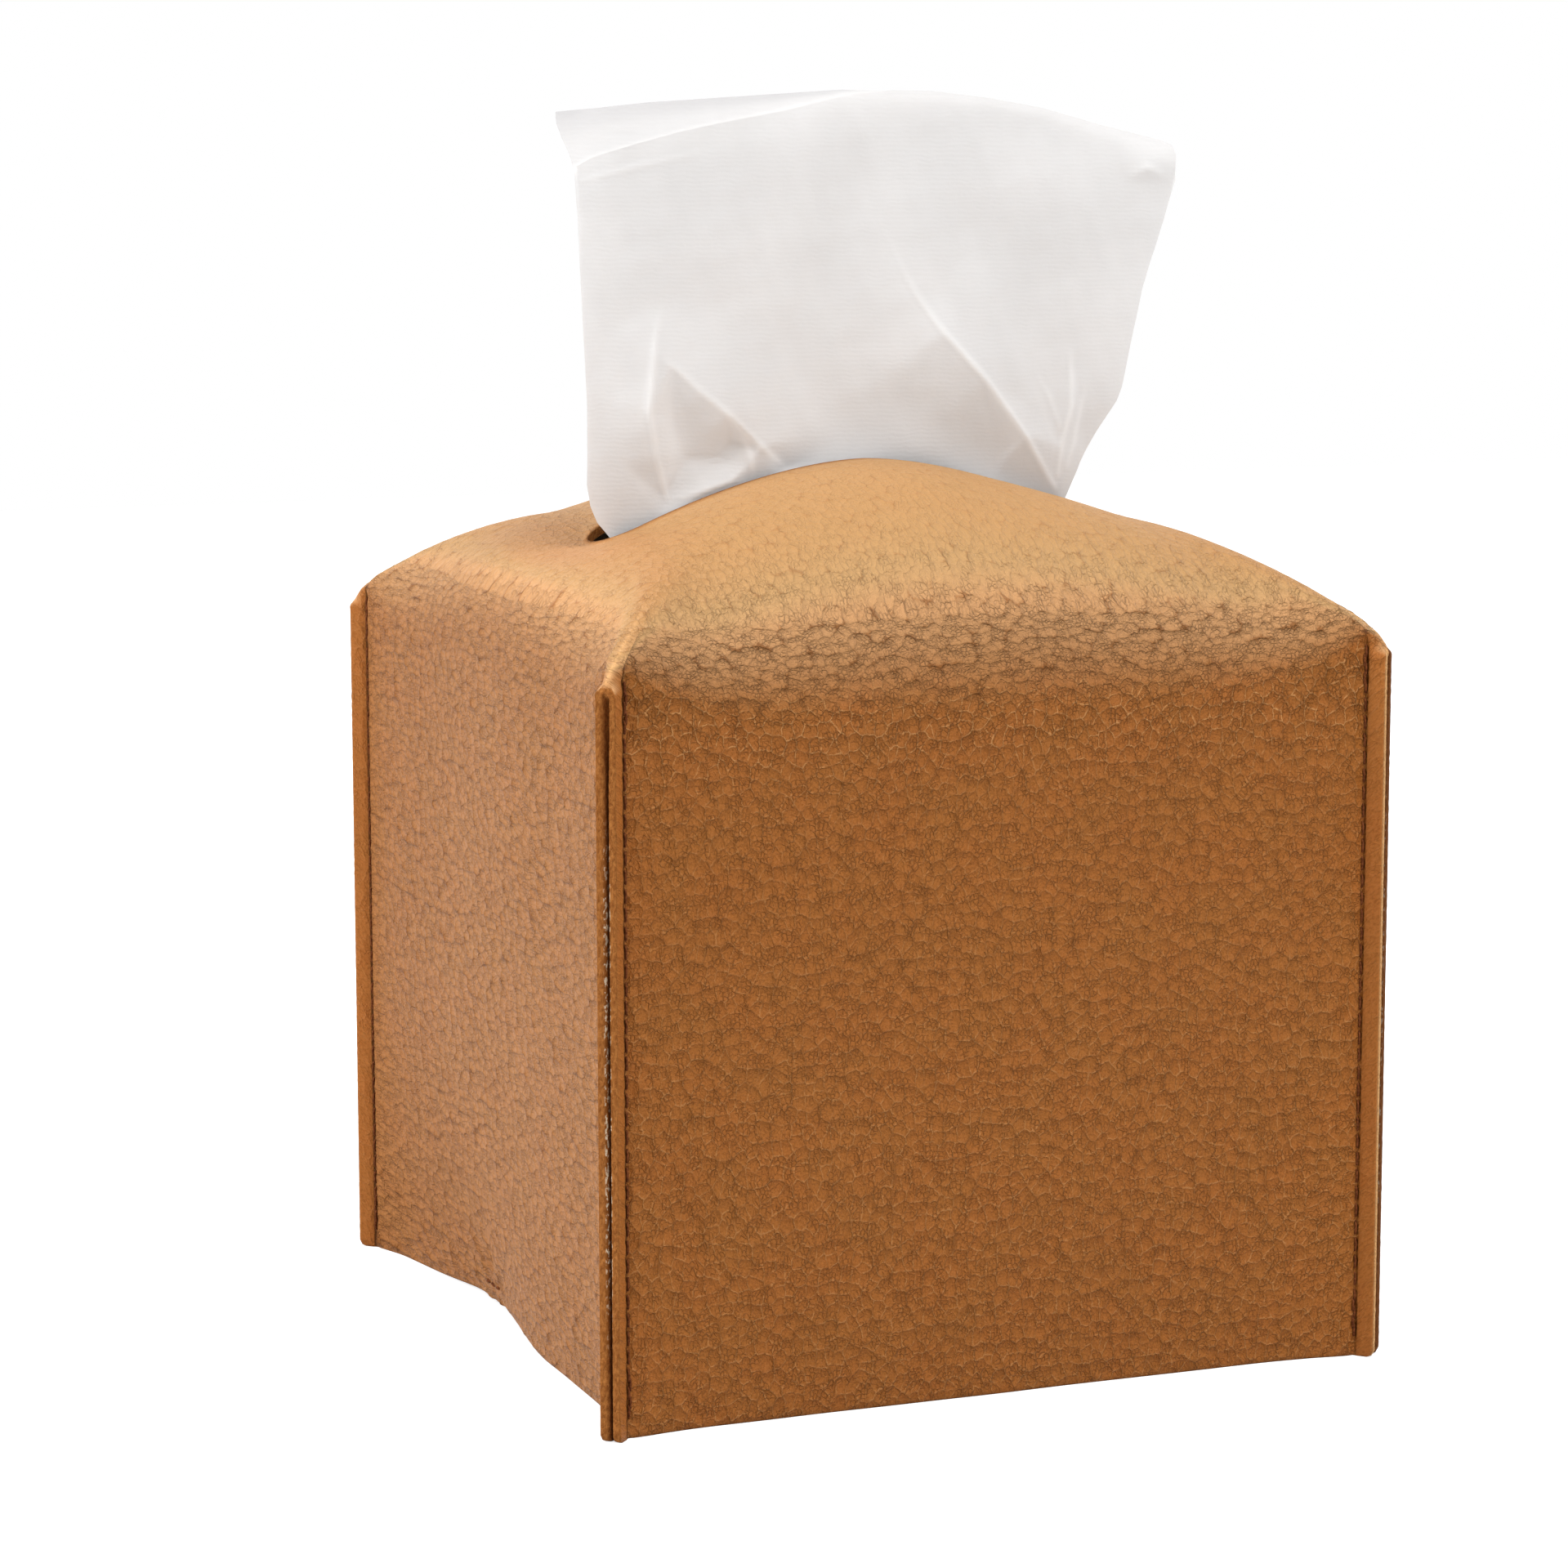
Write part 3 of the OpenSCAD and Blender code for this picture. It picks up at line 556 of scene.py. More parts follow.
def skin(columns, rise, roof, inset):
    """Points [row, column] of the skin. The rise runs from 0 at the foot of the wall to 1 where it
    rolls in, and roof from 0 there to 1 on the slot's lip."""
    rise, roof = np.asarray(rise)[:, None], np.asarray(roof)[:, None]
    place, turn, corner, end = columns.place, columns.turn, columns.corner, columns.end_wall
    deep = np.abs(place)
    deeper, fall = deep**BEND_POWER, deep**SHOULDER_POWER
    half = WALL_HALF - inset
    reach = half - (LEATHER_T if inset else CREASE)
    z = rise * mix(SEAM_TOP_H - WALL_ROLL_DROP, CORNER_ROLL_H, deep**ROLL_POWER)
    fade = np.where(z < PULL_H, (1 - z / PULL_H) ** 2, 0)
    hump = band_hump(columns)
    edge_in = np.where(end, SIDE_EDGE_IN, FRONT_EDGE_IN) * (1 - deep**EDGE_POWER) + BAND_PULL * hump

    if inset:
        corner_along = half - LEATHER_T * (1 - np.sin(np.pi / 2 * turn))
        corner_out = half - LEATHER_T * (1 - np.cos(np.pi / 2 * turn))
    else:
        corner_along, corner_out = WALL_HALF - CREASE * (1 - turn), WALL_HALF - CREASE * turn
    foot_along = np.where(corner, corner_along, place * reach)
    foot_out = np.where(corner, corner_out, half - edge_in * fade)

    bend_along = np.where(corner, corner_along - CORNER_BEND,
                          place * (reach - CORNER_BEND * np.where(end, 1, deeper)))
    bend_out = np.where(corner, corner_out - CORNER_BEND,
                        half - mix(np.where(end, SIDE_BEND, FRONT_BEND), CORNER_BEND, deeper))
    bent = np.where(end, place, np.sign(place) * np.maximum(0, deep - LIP_STRAIGHT_SHARE)
                    / (1 - LIP_STRAIGHT_SHARE))
    lip_turn = np.radians(bent * LIP_WALL_TURN + turn * 2 * LIP_CORNER_TURN)
    straight = np.clip(place / LIP_STRAIGHT_SHARE, -1, 1) * (SLOT_HALF - SLOT_R)
    lip_along = np.where(end, 0, straight) + SLOT_R * np.sin(lip_turn)
    lip_out = np.where(end, SLOT_HALF - SLOT_R, 0) + SLOT_R * np.cos(lip_turn)
    lip_h = lip_height(turned(columns.side, lip_along, lip_out)[0]) - inset

    shoulder_rise = np.where(end, SIDE_SHOULDER_RISE, FRONT_SHOULDER_RISE)
    shoulder_h = SEAM_TOP_H - inset * ROLL_INSET_SHARE + mix(shoulder_rise, CORNER_SHOULDER_RISE, fall)
    bend_h = lip_h + mix(-BEND_DROP_SHARE * CREST_RISE, HIP_RISE, deeper)
    b0, b1, b2, b3 = (1 - roof) ** 3, 3 * (1 - roof) ** 2 * roof, 3 * (1 - roof) * roof**2, roof**3
    level = b0 * (z + BAND_LIFT * hump * fade) + b1 * shoulder_h + b2 * bend_h + b3 * lip_h
    along = (b0 + b1) * foot_along + b2 * bend_along + b3 * lip_along
    out = (b0 + b1) * foot_out + b2 * bend_out + b3 * lip_out
    if not inset:
        more_along, more_out = flange_offset(columns, level)
        along = along + np.where(corner, more_along, 0)
        out = out + np.where(corner, more_out, 0)
    x, y = turned(columns.side, along, out)
    return np.stack([x, y, level + 0 * x], axis=-1)


def ring_smoothed(ring, values, spread):
    """The values at the points of a closed ring, smoothed along it over spread millimetres."""
    reach = np.cumsum(np.linalg.norm(np.diff(ring, axis=0, append=ring[:1]), axis=1))
    place = np.concatenate([[0], reach[:-1]])
    steps = np.arange(RING_STEPS) / RING_STEPS * reach[-1]
    damping = np.exp(-2 * (np.pi * spread * np.fft.rfftfreq(RING_STEPS, reach[-1] / RING_STEPS)) ** 2)
    even = np.interp(steps, place, values, period=reach[-1])
    soft = np.fft.irfft(np.fft.rfft(even) * damping, RING_STEPS)
    return np.interp(place, steps, soft, period=reach[-1])


def soften_hips(rows, roof):
    """Rounds the hips of the roof by smoothing each row of its points, all but those at the lip."""
    for row, share in zip(rows, eased(roof, NO_SOFT, FULL_SOFT)):
        soft = np.stack([ring_smoothed(row, row[:, axis], HIP_SPREAD) for axis in range(3)], axis=1)
        row += share * eased(row[:, 2:], SEAM_TOP_H, HIP_FLAT_H) * (soft - row)


def whole_skin(columns, rise, roof, inset):
    """The skin's rows of points from the foot of the walls up to the slot's lip."""
    walls = skin(columns, rise, np.zeros(len(rise)), inset)
    top = skin(columns, np.ones(len(roof)), roof, inset)
    soften_hips(top, roof)
    return np.vstack([walls, top])


def grid_normals(points):
    """Unit normals of a grid of points whose columns close into a ring, outwards."""
    down = np.gradient(points, axis=0)
    round_ = np.roll(points, -1, axis=1) - np.roll(points, 1, axis=1)
    normal = np.cross(down, round_)
    return normal / np.maximum(np.linalg.norm(normal, axis=-1, keepdims=True), 1e-9)


# Lengths of the grain's cells along x and y, and up the front and the side walls, in millimetres
GRAIN_X, GRAIN_Y, FRONT_GRAIN_Z, SIDE_GRAIN_Z = 1.75, 2.5, 2.15, 1.25
GRAIN_JOIN = SEAM_TOP_H + 4
FIBRE_SIZE = np.array([0.5, 0.5, 0.9])
WRINKLE_H, WRINKLE_REACH = 0.38, 13


def grain_places(columns, points):
    """Where each point lies among the cells of the grain, on the hide spread out flat: the walls
    are folded up level with the top."""
    down = np.maximum(GRAIN_JOIN - points[..., 2], 0)
    x, y = points[..., 0], points[..., 1]
    drop = down / np.where(columns.end_wall, SIDE_GRAIN_Z, FRONT_GRAIN_Z)
    way = np.array([-1, 1, 1, -1])[columns.side]
    cells = np.stack([
        x / GRAIN_X + np.where(columns.end_wall, way * drop, 0),
        y / GRAIN_Y + np.where(columns.end_wall, 0, way * drop),
        np.zeros_like(x),
    ], axis=-1)
    for axis in range(2):
        cells[..., axis] += 0.06 * waves(points, 8.0, 40 + axis) + 0.35 * waves(points, 33.0, 50 + axis)
    return cells


def tack_wrinkles(points):
    """Creases that fan up from where the band is sewn on, in millimetres."""
    away, up = points[..., 1] - BAND_Y, points[..., 2] - TACK_H
    radius = np.hypot(away, up)
    fan = np.cos(7.5 * np.arctan2(up, -away) + 0.5 * np.sin(radius / 4))
    fan *= bell(radius, WRINKLE_REACH) * eased(radius, 1.0, 5.0)
    return WRINKLE_H * fan * (np.abs(points[..., 0]) > WALL_HALF - 12)


def shaped(columns, outer, normals, raw, lip_fade):
    """The outside with its small forms."""
    z = outer[..., 2]
    seam_phase = 2 * np.pi * (z - (CORNER_ROLL_H - SEAM_MARGIN)) / STITCH_PITCH
    near = bell(columns.from_crease, VALLEY_W) * eased(z, SEAM_TOP_H - 0.3, SEAM_TOP_H - 2.5)
    valley = near * (1 + 0.45 * np.cos(seam_phase)) * ~columns.edge_on
    roll_up = bell(columns.from_crease, ROLL_UP_W, ROLL_UP_OUT) * ~columns.corner
    swell = 0.35 * waves(outer, 46.0, 3) + 0.12 * waves(outer, 17.0, 4)
    calm = ~columns.corner * eased(columns.from_crease, 0.0, CALM_W)
    height = ROLL_UP_H * roll_up * (z < SEAM_TOP_H - 3) - VALLEY_D * valley
    height += calm * (swell * (1 - lip_fade) + tack_wrinkles(outer))
    height += RAW_ROUGH_H * raw * waves(outer, 1.3, 8)
    return outer + normals * height[..., None]


def skin_shares(columns, outer, points, face_up, raw, lip_fade):
    """What the leather's material reads at each point of the outside, by name."""
    z = outer[..., 2]
    up = np.clip(face_up, 0, 1)
    on_flange = columns.corner * flange_share(z)
    cut = columns.edge_on * cut_share(z)
    side_wall = columns.end_wall * 1.0
    mixed = np.array([ring_smoothed(row, side_wall, COLOUR_SPREAD) for row in outer[:ROOF_ROWS - 1]])
    sideways = np.tile(side_wall, (len(outer), 1))
    on_roof = sideways[:ROOF_ROWS - 1]
    on_roof += (mixed - on_roof) * eased(z[:ROOF_ROWS - 1], SEAM_TOP_H, HIP_FLAT_H)

    front_roll = bell(z, 10, 115) * (1 - sideways)
    relief = 0.75 + 0.65 * front_roll + 0.25 * sideways * (1 - up) - 0.55 * eased(up, 0.55, 0.95)
    # Painted highlight along the creases, strongest on the front just below the roll, less on upward faces
    front_crease_highlight = 0.7 * bell(z, 10, 107) + 0.55 - 0.2 * eased(z, 40, 80)
    # Painted light: end walls paler, less so towards the back, upward-facing roof paler still, less on its
    # flattest top
    painted_wall_light = 0.3 * sideways * (1 - on_flange) * (1 - 0.35 * eased(points[..., 1], 0, 50))
    painted_light = mix(painted_wall_light, 0.9, eased(face_up, 0.1, 0.8))

    seam_line = bell(columns.from_crease, 0.45) * ~columns.edge_on
    seam_depth = mix(0.15, 0.65, columns.end_wall) * eased(z, SEAM_TOP_H - 1.5, SEAM_TOP_H - 3)
    front_raw = raw * (columns.side == FRONT)
    shade = seam_line * np.maximum(seam_depth, bell(z, 0.3, FIRST_HOLE_H))
    shade += 0.6 * cut * (columns.out < 2.5) * eased(z, ARCH_TOP - 4, ARCH_TOP - 16)
    shade += 0.7 * front_raw * (columns.across > LEATHER_T)
    hip = bell(columns.turn, 0.14, 0.5) * columns.corner
    # Wear and painted highlight along the hip ridges above the flange arches
    worn_and_lit_hips = 0.6 * hip * eased(z, ARCH_TOP - 0.5, ARCH_TOP + 0.8) * eased(z, 124, 115)
    in_gap = (columns.off_middle < 0.5) * (columns.out > 2.1)
    return {
        "raw": np.maximum(raw, lip_fade * 0.75),
        "relief": relief * (1 - raw) * (1 - 0.75 * on_flange) * (1 - lip_fade),
        "lines": mix(0.25, front_crease_highlight, 1 - sideways) * (1 - up) * (1 - 0.8 * on_flange),
        "painted_light": painted_light - (0.3 + 0.22 * sideways) * eased(face_up, 0.7, 0.97),
        "coarse": eased(face_up, 0.85, 0.7),
        "shade": shade,
        # Wear and painted highlight on the hips, and a painted highlight on the front corner's outer raw edge
        "wear_and_highlight": worn_and_lit_hips + front_raw * (columns.across < LEATHER_T),
        "fuzz": cut * in_gap * eased(z, 95, 80) * eased(z, 10, 30),
    }


def leather_cover():
    """The whole skin with its grain, from the outer rim of the lip down, in and up to the lip again."""
    columns = Columns()
    foot, close = LOWEST_ROW_H / CORNER_ROLL_H, 1 - CLOSE_ROWS_H / CORNER_ROLL_H
    wide_rows = round((CORNER_ROLL_H - CLOSE_ROWS_H) / QUAD)
    rise = np.concatenate([
        np.linspace(foot, close, wide_rows, endpoint=False), np.linspace(close, 1, CLOSE_ROWS)])
    roof = np.linspace(0, 1, ROOF_ROWS)[1:] ** ROOF_ROW_POWER
    outer = whole_skin(columns, rise, roof, 0)[::-1]
    inner_rise = np.concatenate([[foot], np.linspace(0, 1, INNER_WALL_ROWS)[1:]])
    inner = whole_skin(columns, inner_rise, np.linspace(0, 1, INNER_ROOF_ROWS)[1:], LEATHER_T)

    z = outer[..., 2]
    normals = grid_normals(outer)
    into_arch = np.clip((ARCH_TOP - z) / ARCH_R, 0, 1)
    half_w = ARCH_R * np.sqrt(np.clip(1 - (1 - into_arch) ** 2, 0, 1))
    raw = columns.edge_on * (z < ARCH_TOP) * eased(columns.off_middle, half_w + 0.04, half_w - 0.12)
    lip_fade = np.concatenate([eased(roof[::-1], 0.975, 1.0), np.zeros(len(rise))])[:, None]
    outside = shaped(columns, outer, normals, raw, lip_fade)
    bottom = np.array([mix(outside[-1], inner[0], share) for share in EDGE_SHARES])
    bottom[..., 2] = np.maximum(bottom[..., 2] - EDGE_BULGE, 0)
    lip = np.array([mix(inner[-1], outside[0], share) for share in EDGE_SHARES])
    points = np.concatenate([outside, bottom, inner, lip])

    mesh = grid_mesh("leather_cover", points, close_rows=True, close_columns=True)
    set_values(mesh, "grain_place", grain_places(columns, points))
    set_values(mesh, "fibre_place", points / FIBRE_SIZE)
    inner_start = len(outside) + len(bottom)
    for name, values in skin_shares(columns, outer, outside, normals[..., 2], raw, lip_fade).items():
        whole = np.zeros(points.shape[:2])
        whole[:len(outside)] = values
        if name == "raw":
            whole[len(outside):inner_start] = 1
            whole[-len(lip):] = 1
        set_values(mesh, name, whole)
    piece = add_piece(mesh, leather, backing)
    lining = np.zeros(points.shape[:2], np.int32)
    lining[inner_start:-len(lip) - 1] = 1
    mesh.polygons.foreach_set("material_index", lining.ravel())
    raise_grain(piece)
    place_piece(piece, "cover", "leather", "leather_shell")


def raise_grain(piece):
    """Raises the cells of the grain out of the mesh, in the same places as the material's."""
    tree = bpy.data.node_groups.new("grain_relief", "GeometryNodeTree")
    for way in ("INPUT", "OUTPUT"):
        tree.interface.new_socket("Geometry", in_out=way, socket_type="NodeSocketGeometry")
    nodes = Nodes(tree)
    start, end = nodes.add("NodeGroupInput"), nodes.add("NodeGroupOutput")
    kinds = {"grain_place": "FLOAT_VECTOR", "relief": "FLOAT", "coarse": "FLOAT"}
    place, relief, coarse = (
        nodes.add("GeometryNodeInputNamedAttribute", {"Name": name}, data_type=kind).outputs["Attribute"]
        for name, kind in kinds.items())
    height = grain(nodes, place, coarse)[0]
    height = nodes.times(nodes.times(nodes.math("SUBTRACT", height, 0.6), relief), RELIEF_H * MM)
    normal = nodes.add("GeometryNodeInputNormal")
    offset = nodes.add("ShaderNodeVectorMath", {0: normal.outputs[0]}, operation="SCALE")
    nodes.feed(offset.inputs["Scale"], height)
    move = nodes.add("GeometryNodeSetPosition", {"Geometry": start.outputs[0], "Offset": offset.outputs[0]})
    nodes.feed(end.inputs[0], move.outputs[0])
    piece.modifiers.new("grain", "NODES").node_group = tree
    graph = bpy.context.evaluated_depsgraph_get()
    flat = piece.data
    piece.data = bpy.data.meshes.new_from_object(
        piece.evaluated_get(graph), preserve_all_data_layers=True, depsgraph=graph)
    piece.modifiers.clear()
    bpy.data.meshes.remove(flat)
    bpy.data.node_groups.remove(tree)
    piece.data.name = piece.name


leather_cover()

# Stitches

THREAD_SIDES = 8
THREAD_RINGS = 11
THREAD_R = THREAD_D * 0.33
THREAD_IN, THREAD_ASIDE = 0.02, 0.08
PLY_TWIST, PLY_DEPTH = 2.2, 0.14
END_BOW = 1.5
END_SINK = 0.1
LEAN_SHARE = 0.05
TACK_R, TACK_LEAN = 0.27, 0.12
TACK_DEPTH = 0.05


def stitch_points(start, end, into, radius):
    """Rings of points of one stitch, whose ends go down into the leather."""
    start, end, into = (np.asarray(v, float) for v in (start, end, into))
    along = (end - start) / np.linalg.norm(end - start)
    side = np.cross(along, into)
    side /= np.linalg.norm(side)
    over = np.cross(side, along)
    t = np.linspace(0, 1, THREAD_RINGS)[:, None]
    around = np.linspace(0, 2 * np.pi, THREAD_SIDES, endpoint=False)[None, :]
    bow = (np.abs(2 * t - 1) ** 3)[..., None] * radius * END_BOW
    taper = np.sqrt(np.clip(1 - np.abs(2 * t - 1) ** 6, 0.04, 1))
    ply = 1 + PLY_DEPTH * np.cos(2 * around - PLY_TWIST * 2 * np.pi * t)
    size = radius * taper * ply
    centre = start + (end - start) * t[..., None] + into * bow
    return centre + side * (size * np.cos(around))[..., None] + over * (size * np.sin(around))[..., None]


def tubes_mesh(name, tubes):
    """One mesh of many closed tubes, each an array of points [ring, around]."""
    points, quads = [], []
    for tube in tubes:
        rings, sides = tube.shape[:2]
        base = sum(len(p) for p in points)
        index = base + np.arange(rings * sides).reshape(rings, sides)
        index = np.hstack([index, index[:, :1]])
        quads.append(grid_quads(index))
        for ring, turn in ((index[0], -1), (index[-1], 1)):
            quads.append(np.array([
                [ring[k], ring[k + 1], ring[sides - 2 - k], ring[sides - 1 - k]][::turn]
                for k in range(sides // 2 - 1)]))
        points.append(tube.reshape(-1, 3))
    return quad_mesh(name, np.vstack(points), np.vstack(quads))


def place_stitches(node, tubes):
    piece = add_piece(tubes_mesh(node + "_stitches", tubes), thread)
    place_piece(piece, "cover", "seam_thread", node)


def seam_thread(node, corner, on_next_side):
    """The stitches of one thread, in the crease beside a corner's flange."""
    stitch_l = STITCH_PITCH - STITCH_GAP
    top = CORNER_ROLL_H - SEAM_MARGIN
    count = math.floor((top - SEAM_MARGIN + STITCH_GAP) / STITCH_PITCH)
    first = top - count * STITCH_PITCH + STITCH_GAP
    side, way = ((corner + 1) % 4, -1) if on_next_side else (corner, 1)
    into = np.array([*turned(side, 0.0, -1.0), 0.0])
    runs = [(first + i * STITCH_PITCH, 0) for i in range(count)]
    for i in range(BACKTACK_STITCHES):
        runs += [(first + STITCH_PITCH * (j + 0.5), 1) for j in (i, count - 2 - i)]
    tubes = []
    rng = np.random.default_rng(corner * 2 + on_next_side)
    for z, row in runs:
        lean = rng.normal(0, LEAN_SHARE, 2) * THREAD_D
        along = WALL_HALF - CREASE - THREAD_ASIDE - row * BACKTACK_SHARE * THREAD_D
        x, y = turned(side, way * along, WALL_HALF - THREAD_IN)
        start = [x + lean[0], y + lean[0], z - END_SINK]
        end = [x + lean[1], y + lean[1], z + stitch_l + END_SINK]
        tubes.append(stitch_points(start, end, into, THREAD_R))
    place_stitches(node, tubes)


for corner, corner_name in enumerate(CORNERS):
    seam_thread(f"needle_thread_{corner_name}", corner, corner % 2 == 1)
    seam_thread(f"bobbin_thread_{corner_name}", corner, corner % 2 == 0)


def wall_inside(z):
    """How far the inner face of an end wall lies from the middle, at the band."""
    fade = (1 - np.minimum(z, PULL_H) / PULL_H) ** 2
    deep = BAND_Y / (WALL_HALF - CREASE)
    return WALL_HALF - LEATHER_T - (SIDE_EDGE_IN * (1 - deep**EDGE_POWER) + BAND_PULL) * fade


def band_tack(node, sign):
    """A row of stitches through a wall and the band behind it."""
    z = BAND_LIFT + TACK_H
    face = sign * (wall_inside(z) + LEATHER_T - TACK_DEPTH)
    behind = sign * (wall_inside(z) - BAND_T + TACK_DEPTH)
    holes = BAND_Y + np.linspace(-0.5, 0.5, 4) * (BAND_W - THREAD_D)
    inward = np.array([-sign, 0.0, 0.0])
    tubes = []
    for i, (a, b) in enumerate(zip(holes[:-1] + TACK_LEAN, holes[1:] - TACK_LEAN)):
        lift = TACK_LEAN * (-1) ** i
        tubes.append(stitch_points([face, a, z + lift], [face, b, z - lift], inward, TACK_R))
        tubes.append(stitch_points([behind, a, z], [behind, b, z], -inward, TACK_R))
    place_stitches(node, tubes)


band_tack("band_tack_left", -1)
band_tack("band_tack_right", 1)

# Elastic band, in two halves that meet in the middle. Each half is turned up against its wall.
# The short upright part over the bend has closely spaced rows of its own.

BAND_RIBS = 11
BEND_R = 0.65
STRETCH_TOP = 1.9
STRETCH_LOW = 1.3
GROOVE_T, HEM_T, HEM_START = 0.80, 0.55, 0.97


def band_half(name, sign):
    turn_x, flat_z = wall_inside(BAND_LIFT) - BAND_T / 2, BAND_CLEAR + BAND_T / 2
    tab = [(wall_inside(z) - BAND_T / 2, z) for z in np.linspace(BAND_LIFT + BAND_TAB_L, STRETCH_TOP, 9)]
    upright = [(turn_x, z) for z in np.linspace(STRETCH_TOP - 0.1, STRETCH_LOW, 7)]
    bend = [(turn_x - BEND_R * (1 - math.cos(a)), flat_z + BEND_R * (1 - math.sin(a)))
            for a in np.linspace(0, math.pi / 2, 14)]
    span = [(x, flat_z) for x in np.linspace(turn_x - BEND_R - 0.25, 0, 48)]
    line = np.array(tab + upright + bend + span)
    forward = np.gradient(line, axis=0)
    forward /= np.linalg.norm(forward, axis=1, keepdims=True)
    out = np.stack([-forward[:, 1], forward[:, 0]], axis=1)
    across = np.linspace(-1, 1, 4 * BAND_RIBS + 1)
    rib = GROOVE_T + (1 - GROOVE_T) * np.abs(np.cos(np.pi * BAND_RIBS * (across + 1) / 2))
    rib = rib * np.where(np.abs(across) > HEM_START, HEM_T, 1)
    y = BAND_Y + np.concatenate([across, across[::-1]]) * BAND_W / 2
    thick = np.concatenate([rib, -rib[::-1]]) * BAND_T / 2
    points = np.empty((len(line), len(y), 3))
    points[..., 0] = sign * (line[:, :1] + out[:, :1] * thick)
    points[..., 1] = y
    points[..., 2] = line[:, 1:] + out[:, 1:] * thick
    if sign < 0:
        points = points[:, ::-1]
    piece = add_piece(grid_mesh(name, points, close_columns=True), elastic)
    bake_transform(piece)
    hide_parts("elastic_band")


band_half("elastic_band_left_half", -1)
band_half("elastic_band_right_half", 1)

# The refill: its carton, the film under the carton's opening and the folded tissues

film_low, film_high = (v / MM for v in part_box("carton_film"))
stack_low, stack_high = (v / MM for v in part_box("tissue_stack"))
SHEET_Y = -2.75
SHEET_SHIFT = 2.0
SHEET_SLOT_W = 2 * (SLOT_HALF - 4.7)
GATHER_D = 6.0
SLIT_W = 7.5
SLIT_L = SHEET_SLOT_W + SLIT_W
BOARD_ROUND = 0.28
HOLE_POINTS, FILM_RINGS, FILM_RING_POWER = 120, 22, 1.2
# The stack: its layers, their rows of points, and the points along each side and in to the middle
STACK_LAYERS, LAYER_ROWS, STACK_SIDE, STACK_TOP_ROWS = 48, 4, 30, 14
STACK_SLACK, STACK_SLACK_SHARE = 0.9, 0.6


def refill_carton():
    """The board box, with its folds and cut edges rounded."""
    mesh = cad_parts["refill_carton"].data.copy()
    mesh.name = "refill_carton_board"
    shape = bmesh.new()
    shape.from_mesh(mesh)
    bmesh.ops.remove_doubles(shape, verts=shape.verts, dist=0.001 * MM)
    bmesh.ops.dissolve_limit(shape, angle_limit=math.radians(1), verts=shape.verts, edges=shape.edges)
    sharp = [e for e in shape.edges if e.is_manifold and e.calc_face_angle() > math.radians(40)]
    bmesh.ops.bevel(shape, geom=sharp, offset=BOARD_ROUND * MM, segments=3, profile=0.5, affect="EDGES")
    for face in shape.faces:
        face.smooth = True
    shape.to_mesh(mesh)
    shape.free()
    mesh.materials.clear()
    piece = add_piece(mesh, cardboard)
    place_piece(piece, "carton", "cardboard", "refill_carton")


def hole_ring(length, width, count, middle):
    """Points round a slot with round ends, evenly spaced, from its right end."""
    straight, bow = length - width, math.pi * width / 2
    half_way = straight + bow
    second, along = np.divmod((np.arange(count) / count * 2 * half_way + bow / 2) % (2 * half_way), half_way)
    turn = (along / bow - 0.5) * math.pi
    x = straight / 2 + np.where(along < bow, width / 2 * np.cos(turn), bow - along)
    y = width / 2 * np.where(along < bow, np.sin(turn), 1)
    return np.stack([x, y], axis=1) * (1 - 2 * second)[:, None] + middle


def box_ring(like, low, high):
    """Points on a rectangle, each straight out from the middle through a point of another ring."""
    middle = (low + high) / 2
    way = like - middle
    scale = np.min((high - low) / 2 / np.maximum(np.abs(way), 1e-6), axis=1)
    return middle + way * scale[:, None]


def carton_film():
    """The film, with ripples and a lip round its slit."""
    inner = hole_ring(SLIT_L, SLIT_W, HOLE_POINTS, (-SHEET_SHIFT, SHEET_Y))
    outer = box_ring(inner, np.array(film_low[:2]), np.array(film_high[:2]))
    shares = np.linspace(0, 1, FILM_RINGS)[:, None, None] ** FILM_RING_POWER
    flat = mix(inner, outer, shares)
    top = np.concatenate([flat, np.full(flat.shape[:2] + (1,), film_high.z)], axis=-1)
    free = eased(shares[..., 0], 0.75, 0.0)
    ripple = 0.22 * waves(top, 16.0, 61) + 0.1 * waves(top, 6.0, 62) - 0.28
    top[..., 2] += free * (0.35 * eased(shares[..., 0], 0.3, 0.0) + np.minimum(ripple, 0.0))
    low = top - np.array([0, 0, film_high.z - film_low.z])
    points = np.concatenate([top, low[::-1]])[:, ::-1]
    piece = add_piece(grid_mesh("carton_film_sheet", points, close_rows=True, close_columns=True), clear_film)
    place_piece(piece, "carton", "film", "carton_film")


